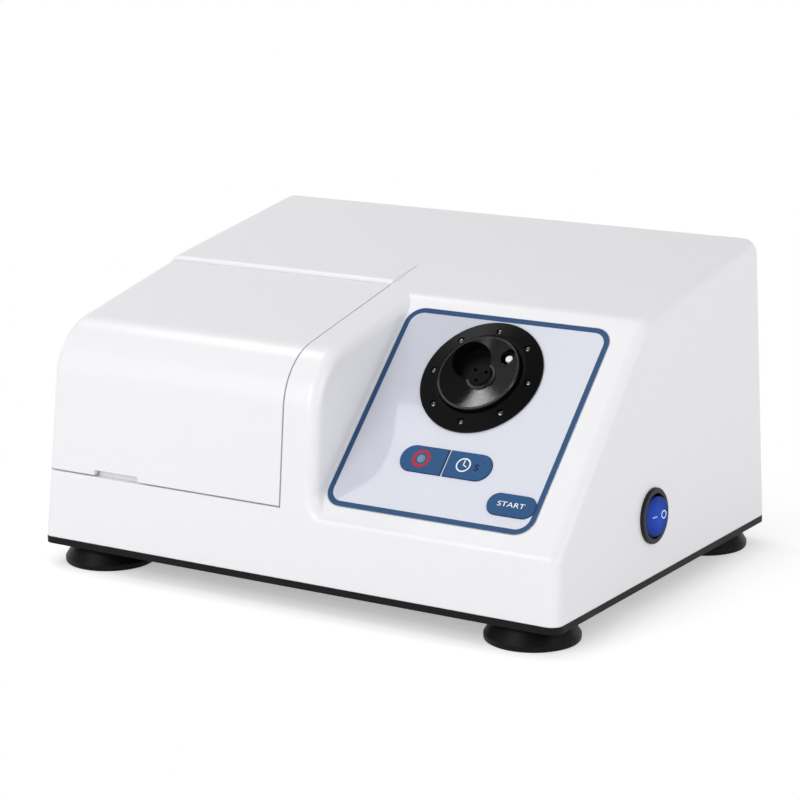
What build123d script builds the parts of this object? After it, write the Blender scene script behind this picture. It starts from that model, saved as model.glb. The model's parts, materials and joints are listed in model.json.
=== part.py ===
from build123d import *
from functools import partial
from math import cos, degrees, radians, sin, tan
import os

os.makedirs("parts", exist_ok=True)

# Dental amalgamator: a wedge-shaped bench mixer for capsules. Millimetres and degrees.
# +X is to the user's right, +Y is towards the back and +Z is up. The origin is on the
# bench, under the middle of the base.

# ---------------------------------------------------------------- driving dimensions
# Case
width = 250.0            # across the base
depth = 191.0            # front to back at the base
foot_height = 9.5        # bench to the underside of the base plate
base_thickness = 3.0
rear_height = 136.5      # bench to the corner where the top meets the rear wall
side_draft = 2.25        # lean of both side walls
front_lean = 5.3         # lean of the front wall
rear_lean = 1.5          # lean of the rear wall
top_tilt = 9.3           # fall of the rear top towards the front
lid_tilt = 12.7          # fall of the lid top towards the front
wall = 3.0               # moulded wall of the housing
press_gap = 0.02         # screw or pin in the bore that holds it
screw_clearance = 0.2    # screw in a piece that it passes through
hole_gap = 0.1           # switch or holder in the hole of its wall
edge_radius = 5.0        # rounding along both sides
nose_radius = 26.0       # big rounding between lid top and lid front
rear_top_radius = 8.0
cheek_radius = 5.0       # rounding of the cheek edge beside the panel
corner_radius = 11.0     # hollow corner where the cheek's edge turns into the ridge
corner_softening = 0.5   # its edge is rounded this much more than the cheek's, to fade into it
ridge_radius = 4.0       # rounding between front wall and control panel
brow_radius = 9.0        # rounding between control panel and top
# Lid and its seams
seam_y = -7.0            # rear seam of the lid
seam_x = -3.5            # right seam of the lid
seam_z = 41.2            # bottom seam of the lid
seam_gap = 0.6
lid_step = 1.4           # the rear top stands this much above the lid at the seam
lid_wall = 2.4
lip_thickness = 1.5      # upstand inside the lid's lower edge
lip_height = 3.0
seam_rounding = 2.2      # rounded edge of the rear top along the seam
lid_undercut = 0.9       # relief behind the lid's rear edge, so that it can swing
undercut_levels = (0.3, 14.0, 20.0)     # start, deepest end and foot of the relief, down from that edge
lid_opening = 100.0      # how far the lid opens
notch_inset = 38.2       # middle of the finger notch, from the base's left side
notch_width = 22.5
notch_height = 2.7
# Lid catch: magnet in the lid, steel plate on the tray, switch beside it
magnet_insets = (12.5, 13.0)     # from the lid's right seam and the base's front
magnet_radius = 4.0
magnet_height = 3.0
magnet_wall = 1.5        # round the magnet's bore
magnet_gap = 0.1         # magnet to catch plate
catch_side = 10.0
catch_thickness = 1.0
interlock_size = (6.0, 8.0, 16.0)
interlock_drop = 4.0     # interlock's underside below the magnet
# Lid hinge
pivot_back = 10.0        # hinge pin behind the seam
pivot_drop = 5.0         # hinge pin below the lid's rear corner
pin_radius = 1.5
pin_clearance = 0.05
hinge_arm_radius = 12.2  # inner radius of the C-shaped hinge arm, round the pin
hinge_arm_thickness = 3.0
hinge_arm_width = 6.0
hinge_arm_sweep = (165.0, 312.0)    # angles round the pin, from +Y towards +Z
hinge_web = 5.0          # thickness of the web between arm and boss
hinge_root = 16.0        # how far the arm's root runs under the lid
hinge_boss_radius = 3.3
hinge_arm_insets = (25.0, 22.5)  # from the base's left side and the lid's right seam
ear_thickness = 3.0
ear_gap = 0.5
ear_margin = 1.5         # ear beyond the boss
slot_clearance = 1.0     # hinge arm to its opening in the bulkhead
# Control panel
cheek_width = 15.7       # strip between lid and panel
panel_tilt = 44.8
panel_foot_z = 38.8      # height of the ridge at the panel's foot
label_left_gap = 0.9     # bare strip between cheek and label
label_side_inset = 16.5  # label's right edge, from the base's right side
label_length_s = 97.6
label_foot = 7.6         # ridge to the label's lower edge
label_radius = 8.0
label_clearance = 0.15
film = 0.5               # thickness of the label film
film_recess = 0.3
# Keys, in panel coordinates (x across, s up the slope)
key_row_rise = 26.6      # above the label's lower edge
key_row_shift = -0.7     # from the label's middle
key_row_length = 41.6
key_row_height = 12.0
key_split = 1.0          # rib between the two keys
start_inset = 12.8       # from the label's right edge
start_rise = 12.3        # above the label's lower edge
start_length = 21.3
start_height = 9.8
key_proud = 0.7
key_clearance = 0.2
key_travel = 0.5
key_flange = 1.2         # thickness of the flange that keeps a key in
key_flange_reach = 1.2
key_rounding = 0.3
tact_height = 4.0        # key board to the tip of a tact switch
tact_body = (6.0, 6.0, 3.5)
tact_button_radius = 1.7
board_post_radius = 3.2
board_post_insets = (1.3, 11.0)     # beside the key row, and from the base's right side
board_post_reach = (4.9, 7.8)       # below the start key and above the key row
board_margin = 4.0       # key board beyond its posts
board_thickness = 1.6
key_screw_gap = 0.4      # end of a key board screw to the panel
# Timer dial, in panel coordinates
dial_shift = -1.4        # from the label's middle
dial_rise = 67.6         # above the label's lower edge
bezel_radius = 26.5
bezel_rim = 1.0
bezel_crown = 2.2
bezel_flat = 1.5         # level ring round the knob
cup_wall = 1.2
cup_depth = 7.0
cup_base = 1.5           # floor of the cup
knob_radius = 17.7
knob_clearance = 0.5
knob_height = 4.4
knob_bottom = -4.2
knob_rim = 0.9
knob_edge = 0.4          # chamfer at the knob's front
knob_back_edge = 0.6
dish_floor = 1.6
hub_radius = 5.2
hub_height = 3.0
hub_flat = 1.0           # level ring round the hub
hub_wall = 0.8           # hub beside the finger recess
hub_hole_radius = 0.8
hub_hole_depth = 1.0     # below the dish's floor
hub_hole_circle = 3.0
hub_hole_count = 3
finger_radius = 8.2
finger_floor = -2.2
finger_offset = (-6.1, 6.0)
pointer_hole_radius = 3.4
pointer_hole_offset = (9.5, 9.4)
pointer_floor = 3.0      # floor of the pointer's hole above the knob's back
pointer_height = 3.2
pointer_radius = 1.5
bezel_screw_circle = 21.9
bezel_screw_count = 8
bezel_screw_radius = 1.25
bezel_screw_head = 0.8
bezel_screw_sink = 0.5   # seat of a bezel screw above the label
bezel_screw_rounding = 0.3
bezel_screw_slot = (0.36, 0.3)
bezel_screw_gap = 0.15   # head in its recess
bezel_pilot = 0.7        # shank of a bezel screw
shaft_radius = 3.0
shaft_top = 0.6
bushing_radius = 4.4
bushing_height = 2.2     # above the cup's floor
encoder_size = 16.0
encoder_height = 8.0
encoder_gap = 0.1        # encoder to the cup
shaft_entry = 6.0        # how far the shaft reaches into the encoder
# Power switch on the right wall
switch_y = -13.4
switch_z = 37.4
switch_bezel_radius = 11.5
switch_bezel_height = 1.5
switch_body_radius = 9.9
switch_body_depth = 16.0
rocker_well_radius = 9.3
rocker_radius = 8.2
rocker_ball_radius = 8.9     # the rocker's tips run inside this ball round its pin
rocker_pivot_drop = 1.5
rocker_crown = 2.2
rocker_roof = 3.0            # fall of each half from the middle ridge
rocker_tilt = 10.0           # tilt either way from the middle
rocker_skirt = 4.9           # rocker's underside below its pin line
rocker_pin_radius = 1.2
switch_rounding = 0.7
switch_tab = (0.8, 4.8, 9.0)
switch_tab_spread = (4.5, 4.0)
switch_nut_radius = 12.0
switch_nut_thickness = 2.95
# Power inlet, fuse and vents on the rear wall
inlet_inset = 41.0           # from the base's right side
inlet_z = 38.0
inlet_flange = (50.0, 23.0, 2.0)
inlet_body = (27.4, 19.6, 24.0)
inlet_cavity = (24.2, 16.2, 16.0)
inlet_pin = (4.0, 2.0, 11.0)
inlet_pin_places = ((-7.0, -2.0), (7.0, -2.0), (0.0, 2.0))
inlet_corner = 4.0           # flange corner
inlet_key_corner = 6.4       # square that fills a lower corner of the mouth
inlet_screw_pitch = 40.0
wall_screw_head = (2.6, 1.2) # radius and height
wall_screw_slot = (0.6, 0.8) # width and depth
fuse_pitch = 40.0            # from the inlet to the fuse
fuse_radius = 6.0
fuse_length = 30.0
fuse_wall = 1.4
fuse_cap_radius = 7.5
fuse_cap_height = 2.0
fuse_cap_depth = 6.0
fuse_cap_slot = (1.4, 1.0)   # width and depth
vent_count = 9
vent_pitch = 9.0
vent_width = 3.0
vent_height = 34.0
vent_centre_x = -60.0
vent_centre_z = 78.0
# Feet and screws
foot_radius = 19.3
foot_top_radius = 15.0
foot_rim = 2.5
foot_inset_x = 21.3
foot_inset_y = 19.5
screw_radius = 1.5
screw_head_radius = 2.9
screw_head_height = 1.7
boss_radius = 5.0
boss_height = 7.0
boss_sink = 1.0              # how far a boss runs into the wall beside it
side_boss_ys = (-30.0, 45.0)
end_boss_xs = (-58.0, 58.0)
screw_slot = (4.0, 0.8, 0.9) # length, width and depth of a cross slot
foot_screw_head = 4.5
foot_screw_height = 2.2
foot_screw_z = 5.0           # seat of a foot screw
foot_screw_reach = 4.0       # thread above the base plate
foot_screw_slot = (1.0, 1.0)
foot_rounding = 1.0
base_vent_count = 7
base_vent_pitch = 6.0
base_vent_width = 2.5
base_vent_length = 30.0
base_vent_x = -3.0
# Chamber tray
tray_floor_z = 20.0
tray_wall = 2.0
tray_rim_z = 44.0
tray_gap = 0.6
tray_rim = 1.5
tray_radius = 6.0
tray_rim_radius = 3.5
tray_lip_gap = 0.3           # tray rim above the lid's lip
tray_pad = 3.0               # depth of the pad under the catch plate
tray_leg_side_insets = (41.0, 26.5)     # from the base's left side and the lid's right seam
tray_leg_end_insets = (29.5, 15.0)      # from the base's front and the lid's rear seam
# Drive: motor shaft along X, with a skewed journal that carries the mixing arm
shaft_y = 34.0
shaft_z = 62.0
journal_x = -62.0
journal_skew = 7.0
journal_radius = 6.0
bearing_outer_radius = 14.0
bearing_width = 8.0
bearing_ring = 2.6
ball_count = 9
fit_clearance = 0.05
arm_ring = 5.0           # radial wall of the arm's eye
arm_beam = (8.0, 10.0)   # width and height of the arm's beam
capsule_reach = 82.0     # journal to the capsule's centre
capsule_gap = 31.0       # between the jaw cups
jaw_thickness = 2.0
jaw_height = 9.0
jaw_opening = 12.0       # how far the moving jaw swings
cup_radius = 4.5
cup_thickness = 1.6
motor_front_x = -44.0
motor_length = 80.0
motor_radius = 31.0
can_wall = 1.4
bell_length = 8.0
core_length = 46.0
core_radius = 19.0
air_gap = 0.5
motor_shaft_radius = 4.0
journal_shaft_radius = 3.0
motor_bearing_radius = 8.5
motor_bearing_width = 6.0
motor_bearing_inset = 1.0
shaft_step_gap = 5.0         # from the motor to the shaft's thinner end
shaft_end_gap = 2.0          # shaft beyond the fan
fan_gap = 4.0
fan_hub_radius = 7.0
fan_blade_angle = 35.0
fan_blade_thickness = 1.4
bell_window_radius = 4.0
bell_window_circle = 20.0
bell_window_count = 6
winding_gap = 1.5            # winding to can and bore
winding_end_gap = 1.0        # winding to the end bell
winding_core_gap = 0.2
winding_rounding = 2.0
fan_radius = 24.0
fan_width = 9.0
fan_blades = 7
slot_half_width = 13.0
slot_half_height = 11.0
# Motor bracket on rubber mounts, saddles and straps
mount_height = 10.0
mount_radius = 6.0
mount_xs = (-34.0, 26.0)
mount_reach = 24.0           # mounts on either side of the shaft's line
bracket_plate = 2.0
bracket_margin = (7.0, 6.0)  # plate beyond the mounts
saddle_drop = 12.0           # top of a saddle below the shaft
saddle_half = 36.0
saddle_width = 6.0
saddle_insets = (12.0, 12.0) # from each end of the motor
strap = 1.2
strap_gap = 0.05
strap_screw_length = 7.0
# Restraint spring between bracket and mixing arm
spring_behind = 14.0         # behind the lid's rear seam
spring_tongue = 14.0
spring_spigot = (2.4, 3.0)   # radius and height
wire_radius = 0.6
coil_radius = 3.4
coil_turns = 6.0
spring_end_gap = 0.05
spring_head_gap = 0.8
# Journal sleeve, washer and nut
washer_reach = 2.2
journal_shoulder = 2.0
journal_sleeve = 8.5
side_gap = 0.1               # bearing to washer and shoulder
race_gap = 0.01              # race on its seat
grub_radius = 1.6
grub_setback = 5.5
nut_washer = 1.5
nut_radius = 5.0
nut_gap = 1.3                # washer's middle to the nut
shaft_past_nut = 0.4
nut_reach = 6.0              # shaft beyond the bearing
# Yoke and jaws
yoke_setback = 13.0          # yoke's front face behind the capsule's centre
yoke_depth = 7.0
yoke_rounding = 1.0
beam_rounding = 1.5
clevis_arm = 4.0             # yoke beyond the jaw pin
barrel_radius = 2.8
barrel_half = 3.0
barrel_gap = (0.5, 0.3)      # barrel to the clevis, across and along
jaw_tip_reach = 0.5          # jaw plate beyond the cup
jaw_foot = 1.5
jaw_foot_margin = 3.5
jaw_screw_insets = (4.5, 10.5)
jaw_screw_thread = 1.2
jaw_screw_head = (2.2, 1.5)  # radius and height
jaw_screw_slot = (0.6, 0.7)
jaw_hole_radius = 1.4
jaw_shoulder = 2.0           # moving jaw's full height starts this far from the yoke
thumb_size = 3.0
cup_lip = 0.8
cup_floor_radius = 1.5
cup_dish = 2.0
cup_sink = 0.2
jaw_pin_head = 2.6
jaw_pin_head_height = 1.15
jaw_spring_drop = 4.0
jaw_spring_radius = 2.6
pin_tail = 0.6
# Control board, on four standoffs, and transformer; what stands on the board is placed from
# the board's front left screw
board_screw_insets = (67.0, 30.0)    # from the base's right side
board_screw_ys = (-56.0, 12.0)
control_board_margin = 6.0
standoff_radius = 3.2
relay_place = (7.5, 53.5)
relay_size = (19.0, 15.0, 15.0)
capacitor_place = (28.0, 52.0)
capacitor_size = (7.0, 22.0)         # radius and height
small_capacitor_place = (12.0, 26.0)
small_capacitor_size = (4.0, 12.0)
capacitor_rounding = 0.6
heat_sink_place = (32.5, 24.0)
heat_sink_size = (13.0, 20.0, 3.0)
fin_height = 11.0
fin_thickness = 1.4
fin_pitch = 4.0
terminals_place = (0.0, 21.0)
terminals_size = (8.0, 30.0, 10.0)
transformer_insets = (40.0, 47.5)    # from the base's right side and rear
transformer_size = (46.0, 16.0, 38.0)
coil_depth = 36.0
coil_rounding = 5.0
coil_gap = 0.2
coil_fit = 0.1

# ---------------------------------------------------------------- derived places
shell_z = foot_height + base_thickness
cheek_right = seam_x + cheek_width
tan_front = tan(radians(front_lean))
tan_rear = tan(radians(rear_lean))
tan_side = tan(radians(side_draft))
tan_top = tan(radians(top_tilt))
tan_lid = tan(radians(lid_tilt))
tan_panel = tan(radians(panel_tilt))


def front_y(z):
    return -depth / 2 + tan_front * (z - shell_z)


def rear_y(z):
    return depth / 2 - tan_rear * (z - shell_z)


def side_x(z):
    return width / 2 - tan_side * (z - shell_z)


def top_z(y):
    return rear_height - tan_top * (rear_y(rear_height) - y)


lid_rear_z = top_z(seam_y) - lid_step
panel_foot_y = front_y(panel_foot_z)


def lid_z(y):
    return lid_rear_z - tan_lid * (seam_y - y)


break_y = seam_y + lid_step / (tan_lid - tan_top)


def panel_z(y):
    return panel_foot_z + tan_panel * (y - panel_foot_y)


def panel_meets(height, slope):
    """y where the control panel's plane meets a plane of this slope and height at y = 0."""
    return (height - panel_z(0)) / (tan_panel - slope)


nose_z = (lid_z(-depth / 2) - tan_lid * tan_front * shell_z) / (1 - tan_lid * tan_front)
brow_y = panel_meets(lid_z(0), tan_lid)
brow_rounding_end = brow_y + brow_radius * tan(radians(panel_tilt - lid_tilt) / 2)
brow_past_break = brow_rounding_end > break_y
if brow_past_break:
    brow_y = panel_meets(top_z(0), tan_top)
pivot_y = seam_y + pivot_back
pivot_z = lid_rear_z - pivot_drop
label_left = cheek_right + label_left_gap
label_right = width / 2 - label_side_inset
label_length_x = label_right - label_left
label_centre_x = (label_left + label_right) / 2
label_centre_s = label_foot + label_length_s / 2
key_row_x = label_centre_x + key_row_shift
key_row_s = label_foot + key_row_rise
start_x = label_right - start_inset
start_s = label_foot + start_rise
dial_x = label_centre_x + dial_shift
dial_s = label_foot + dial_rise
board_post_xs = (key_row_x - key_row_length / 2 - board_post_insets[0], width / 2 - board_post_insets[1])
board_post_ss = (start_s - board_post_reach[0], key_row_s + board_post_reach[1])
notch_centre_x = notch_inset - width / 2
hinge_arm_xs = (hinge_arm_insets[0] - width / 2, seam_x - hinge_arm_insets[1])
magnet_x = seam_x - magnet_insets[0]
magnet_y = magnet_insets[1] - depth / 2
tray_leg_xs = (tray_leg_side_insets[0] - width / 2, seam_x - tray_leg_side_insets[1])
tray_leg_ys = (tray_leg_end_insets[0] - depth / 2, seam_y - tray_leg_end_insets[1])
inlet_x = width / 2 - inlet_inset
fuse_x = inlet_x - fuse_pitch
board_screw_xs = (width / 2 - board_screw_insets[0], width / 2 - board_screw_insets[1])
transformer_place = (width / 2 - transformer_insets[0], depth / 2 - transformer_insets[1])
film_top = film - film_recess
motor_rear_x = motor_front_x + motor_length
lip_top = seam_z + lip_height
tray_rim_low = lip_top + tray_lip_gap
catch_z = tray_rim_low + tray_rim
magnet_z = catch_z + catch_thickness + magnet_gap

panel = Plane(
    origin=(0, panel_foot_y, panel_foot_z),
    x_dir=(1, 0, 0),
    z_dir=(0, -sin(radians(panel_tilt)), cos(radians(panel_tilt))),
)
switch_plane = Plane(
    origin=(side_x(switch_z), switch_y, switch_z),
    x_dir=(0, 1, 0),
    z_dir=(cos(radians(side_draft)), 0, sin(radians(side_draft))),
)


def rear_plane(x, z):
    """Plane on the outside of the rear wall, local x to the user's left."""
    normal = (0, cos(radians(rear_lean)), sin(radians(rear_lean)))
    return Plane(origin=(x, rear_y(z), z), x_dir=(-1, 0, 0), z_dir=normal)


# ---------------------------------------------------------------- helpers
FAR = 400.0              # past everything
hollow_bottom = 0.0      # hollows are drawn from the bench up, so that they stay open below


def block(x0, x1, y0, y1, z0, z1):
    """Box between two corners."""
    middle = ((x0 + x1) / 2, (y0 + y1) / 2, (z0 + z1) / 2)
    return Pos(*middle) * Box(x1 - x0, y1 - y0, z1 - z0)


def rod(radius, z0, z1):
    """Upright cylinder from z0 to z1."""
    return Pos(0, 0, (z0 + z1) / 2) * Cylinder(radius, z1 - z0)


def ring(outer, inner, z0, z1):
    return rod(outer, z0, z1) - rod(inner, z0 - 1, z1 + 1)


def on(plane, x, y):
    """Place on a plane at local x and y."""
    return plane.location * Pos(x, y, 0)


def along_x(x, y, z):
    """Place whose local z runs along +X."""
    return Pos(x, y, z) * Rot(0, 90, 0)


def side_profile(points, x0, x1):
    """Extrude a closed outline in the YZ plane from x0 to x1."""
    return extrude(Plane.YZ.offset(x0) * make_face(Polyline(*points, close=True)), x1 - x0)


def rounded_face(points, roundings):
    """Face in the YZ plane; roundings holds (corner number, radius)."""
    face = make_face(Polyline(*points, close=True))
    for number, radius in roundings:
        spot = Vector(points[number][0], points[number][1], 0)
        corner = face.vertices().sort_by_distance(spot)[0]
        face = fillet(corner, radius)
    return face


def shrunk(face, inset):
    if inset == 0:
        return face
    return offset(face, -inset, kind=Kind.INTERSECTION)


def save(name, shape):
    export_step(shape, f"parts/{name}.step")


def group(shapes):
    return Compound(children=list(shapes))


# ---------------------------------------------------------------- case forms
def front_view(inset, bottom):
    """Prism of the case seen from the front: side walls only."""
    x_low = side_x(bottom) - inset / cos(radians(side_draft))
    x_high = side_x(FAR) - inset / cos(radians(side_draft))
    points = [(-x_low, bottom), (x_low, bottom), (x_high, FAR), (-x_high, FAR)]
    face = Plane.XZ * make_face(Polyline(*points, close=True))
    return extrude(face, FAR, both=True)


def long_outline(bottom):
    """Front wall, nose, lid plane, rear top and rear wall."""
    return [
        (front_y(bottom), bottom),
        (front_y(nose_z), nose_z),
        (break_y, lid_z(break_y)),
        (rear_y(rear_height), rear_height),
        (rear_y(bottom), bottom),
    ]


def panel_outline(bottom):
    """Rear wall, front wall, sloping panel, brow and rear top."""
    points = [
        (rear_y(bottom), bottom),
        (front_y(bottom), bottom),
        (panel_foot_y, panel_foot_z),
        (brow_y, panel_z(brow_y)),
    ]
    if not brow_past_break:
        points.append((break_y, lid_z(break_y)))
    points.append((rear_y(rear_height), rear_height))
    return points


def side_edges(solid, low_x):
    """Edges round the left-most or right-most wall, without the bottom one."""
    wall_face = solid.faces().sort_by(Axis.X)[0 if low_x else -1]
    return wall_face.edges().filter_by(lambda e: e.center().Z > shell_z + 1)


def lid_form():
    """Outer body left of the panel: lid, cheek and the case behind and below them."""
    face = rounded_face(long_outline(shell_z), [(3, rear_top_radius), (1, nose_radius)])
    body = extrude(Plane.YZ.offset(-FAR) * face, FAR + cheek_right) & front_view(0, shell_z)
    body = fillet(side_edges(body, True), edge_radius)
    return fillet(side_edges(body, False), cheek_radius)


def panel_form():
    """Outer body under the panel, with the case behind it."""
    roundings = [(-1, rear_top_radius), (3, brow_radius), (2, ridge_radius)]
    face = rounded_face(panel_outline(shell_z), roundings)
    body = extrude(Plane.YZ.offset(seam_x) * face, FAR) & front_view(0, shell_z)
    return fillet(side_edges(body, False), edge_radius)


def rear_form():
    """Outer body behind the lid, where the rear top runs on to the seam."""
    points = [
        (seam_y - wall - edge_radius, shell_z),
        (seam_y - wall - edge_radius, top_z(seam_y - wall - edge_radius)),
        (rear_y(rear_height), rear_height),
        (rear_y(shell_z), shell_z),
    ]
    face = rounded_face(points, [(2, rear_top_radius)])
    body = extrude(Plane.YZ.offset(-FAR) * face, FAR + seam_x) & front_view(0, shell_z)
    wall_face = body.faces().sort_by(Axis.X)[0]
    edges = wall_face.edges().filter_by(lambda e: e.center().Y > seam_y and e.center().Z > shell_z + 1)
    body = fillet(edges, edge_radius)
    body = body & block(-FAR, FAR, seam_y, FAR, 0, FAR)
    cut_face = body.faces().sort_by(Axis.Y)[0]
    upper = cut_face.edges().filter_by(
        lambda e: e.center().Z > shell_z + 1 and e.center().X < seam_x - 1
    )
    return fillet(upper, seam_rounding)


def inner_form(inset, bottom):
    """Hollow of the case: the same walls, set in, with no rounding but the nose."""
    long_face = shrunk(rounded_face(long_outline(bottom), [(1, nose_radius)]), inset)
    panel_face = shrunk(rounded_face(panel_outline(bottom), []), inset)
    left = extrude(Plane.YZ.offset(-FAR) * long_face, FAR + cheek_right - inset)
    right = extrude(Plane.YZ.offset(-FAR) * panel_face, 2 * FAR)
    return (left + right) & front_view(inset, bottom)


def corner_web():
    """Fill between cheek and ridge, with a hollow corner when seen from the front."""
    over = cheek_radius + 1.0
    reach = cheek_right + corner_radius
    corner_z = panel_foot_z + corner_radius
    face = rounded_face(long_outline(shell_z), [(1, nose_radius)])
    web = extrude(Plane.YZ.offset(cheek_right - over) * face, over + corner_radius)
    web = web & block(cheek_right - over, reach, -FAR, FAR, panel_foot_z - over, corner_z)
    web = web - Pos(reach, 0, corner_z) * Rot(90, 0, 0) * Cylinder(corner_radius, 2 * FAR)
    hollow_edge = web.edges().filter_by(GeomType.LINE, reverse=True).sort_by(Axis.Y)[0]
    return fillet(hollow_edge, cheek_radius + corner_softening)


lid_body = lid_form()
panel_body = panel_form()
rear_body = rear_form()
case_hollow = inner_form(wall, hollow_bottom)
filled_case = (
    ((lid_body + panel_body + corner_web()) & block(seam_x, FAR, -FAR, FAR, 0, FAR))
    + (lid_body & block(-FAR, seam_x, -FAR, seam_y, 0, seam_z))
    + rear_body
)
skin_z = top_z(seam_y) - wall / cos(radians(top_tilt))      # underside of the top at the seam

# ---------------------------------------------------------------- screws from below
boss_inset = wall + boss_radius - boss_sink
housing_screw_spots = [(side * (width / 2 - boss_inset), y) for side in (-1, 1) for y in side_boss_ys]
housing_screw_spots += [(x, side * (depth / 2 - boss_inset)) for side in (-1, 1) for x in end_boss_xs]
tray_leg_spots = [(x, y) for x in tray_leg_xs for y in tray_leg_ys]
mount_spots = [(x, shaft_y + side * mount_reach) for x in mount_xs for side in (-1, 1)]
board_screw_spots = [(x, y) for x in board_screw_xs for y in board_screw_ys]
base_screw_spots = housing_screw_spots + tray_leg_spots + mount_spots + board_screw_spots
screw_length = base_thickness + boss_height - 1.0
foot_spots = [
    (sx * (width / 2 - foot_inset_x), sy * (depth / 2 - foot_inset_y))
    for sx in (-1, 1)
    for sy in (-1, 1)
]


# ---------------------------------------------------------------- panel cut-outs
def pill(length, height, h0, h1, grow=0.0):
    """Rounded key shape between heights h0 and h1 above the panel."""
    outline = RectangleRounded(length + 2 * grow, height + 2 * grow, height / 2 + grow - 0.01)
    return Pos(0, 0, h0) * extrude(outline, h1 - h0)


def row_key(side, h0, h1, grow=0.0):
    """One half of the two-part key row; side is -1 on the left, 1 on the right."""
    whole = pill(key_row_length, key_row_height, h0, h1, grow)
    inner = key_split / 2 - grow
    outer = key_row_length
    keep = block(*sorted((side * inner, side * outer)), -outer, outer, h0, h1)
    return on(panel, key_row_x, key_row_s) * (whole & keep)


def start_shape(h0, h1, grow=0.0):
    return on(panel, start_x, start_s) * pill(start_length, start_height, h0, h1, grow)


def key_openings(h0, h1):
    return [
        row_key(-1, h0, h1, key_clearance),
        row_key(1, h0, h1, key_clearance),
        start_shape(h0, h1, key_clearance),
    ]


bezel_screw_places = [
    on(panel, dial_x, dial_s) * Rot(0, 0, 360 * i / bezel_screw_count) * Pos(bezel_screw_circle, 0, 0)
    for i in range(bezel_screw_count)
]


# Levels behind the panel, down to the key board on four posts of the panel's own
flange_top = -wall - 0.2
flange_bottom = flange_top - key_flange
switch_tip = flange_bottom - key_travel - 0.1
board_top = switch_tip - tact_height
key_top = film_top + key_proud
key_board_corners = [(x, s) for x in board_post_xs for s in board_post_ss]
cup_outer = knob_radius + knob_clearance + cup_wall


# ---------------------------------------------------------------- housing
def key_board_post(x, s):
    """Spacer between panel and key board, with the screw's bore."""
    post = rod(board_post_radius, board_top, -wall + 0.5)
    bore = rod(screw_radius + press_gap, board_top - 1, -wall - key_screw_gap / 2)
    return on(panel, x, s) * (post - bore)


def hinge_slots():
    """Openings in the bulkhead that the hinge arms swing through."""
    half = hinge_arm_width / 2 + slot_clearance
    low = pivot_z - hinge_arm_radius - hinge_arm_thickness - slot_clearance
    return [block(x - half, x + half, seam_y - 1, seam_y + wall + 1, low, skin_z) for x in hinge_arm_xs]


def hinge_ears():
    """Ears under the rear top, two for each hinge arm, with the pin's bore."""
    near = hinge_arm_width / 2 + ear_gap
    reach = hinge_boss_radius + ear_margin
    ears = []
    for x in hinge_arm_xs:
        for side in (-1, 1):
            xs = sorted((x + side * near, x + side * (near + ear_thickness)))
            ear = block(*xs, pivot_y - reach, pivot_y + reach, pivot_z - reach, FAR) & filled_case
            ears.append(ear - along_x(x, pivot_y, pivot_z) * rod(pin_radius + press_gap, -FAR, FAR))
    return ears


def lid_lip():
    """Upstand inside the lid's lower edge."""
    band = block(-FAR, seam_x, -FAR, seam_y, seam_z - 2 * wall, lip_top)
    return (case_hollow - inner_form(wall + lip_thickness, hollow_bottom)) & band


def rear_vents():
    slots = []
    for i in range(vent_count):
        x = vent_centre_x + (i - (vent_count - 1) / 2) * vent_pitch
        slot = extrude(RectangleRounded(vent_width, vent_height, vent_width / 2 - 0.01), 3 * wall, both=True)
        slots.append(rear_plane(x, vent_centre_z).location * slot)
    return slots


def make_housing():
    chamber = block(-FAR, seam_x, -FAR, seam_y, 0, FAR)
    chamber_walls = block(-FAR, seam_x + wall, -FAR, seam_y + wall, 0, FAR)
    shell = filled_case - (case_hollow - chamber_walls) - (case_hollow & chamber)
    shell = shell + hinge_ears() + lid_lip()
    bosses = [Pos(x, y, 0) * rod(boss_radius, shell_z, shell_z + boss_height) for x, y in housing_screw_spots]
    shell = shell + [boss & filled_case for boss in bosses]
    cuts = hinge_slots() + rear_vents() + key_openings(-2 * wall, wall)
    cuts += [
        Pos(x, y, 0) * rod(screw_radius + press_gap, 0, foot_height + screw_length + 1)
        for x, y in housing_screw_spots
    ]
    cuts.append(
        block(
            journal_x - slot_half_width, journal_x + slot_half_width, seam_y - 1, seam_y + wall + 1,
            shaft_z - slot_half_height, shaft_z + slot_half_height,
        )
    )
    recess = extrude(RectangleRounded(label_length_x, label_length_s, label_radius), wall)
    cuts.append(on(panel, label_centre_x, label_centre_s) * Pos(0, 0, -film_recess) * recess)
    cuts.append(on(panel, dial_x, dial_s) * rod(cup_outer + 0.2, -2 * wall, wall))
    cuts += [place * rod(bezel_pilot, -2 * wall, wall) for place in bezel_screw_places]
    cuts.append(switch_plane.location * rod(switch_body_radius + hole_gap, -2 * wall, wall))
    inlet_place = rear_plane(inlet_x, inlet_z).location
    cuts.append(inlet_place * Box(inlet_body[0] + 4 * hole_gap, inlet_body[1] + 4 * hole_gap, 4 * wall))
    cuts += [
        inlet_place * Pos(side * inlet_screw_pitch / 2, 0, 0) * rod(screw_radius + press_gap, -2 * wall, wall)
        for side in (-1, 1)
    ]
    cuts.append(rear_plane(fuse_x, inlet_z).location * rod(fuse_radius + hole_gap, -2 * wall, wall))
    shell = shell + [key_board_post(x, s) for x, s in key_board_corners]
    return shell - cuts


save("housing", make_housing())


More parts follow.
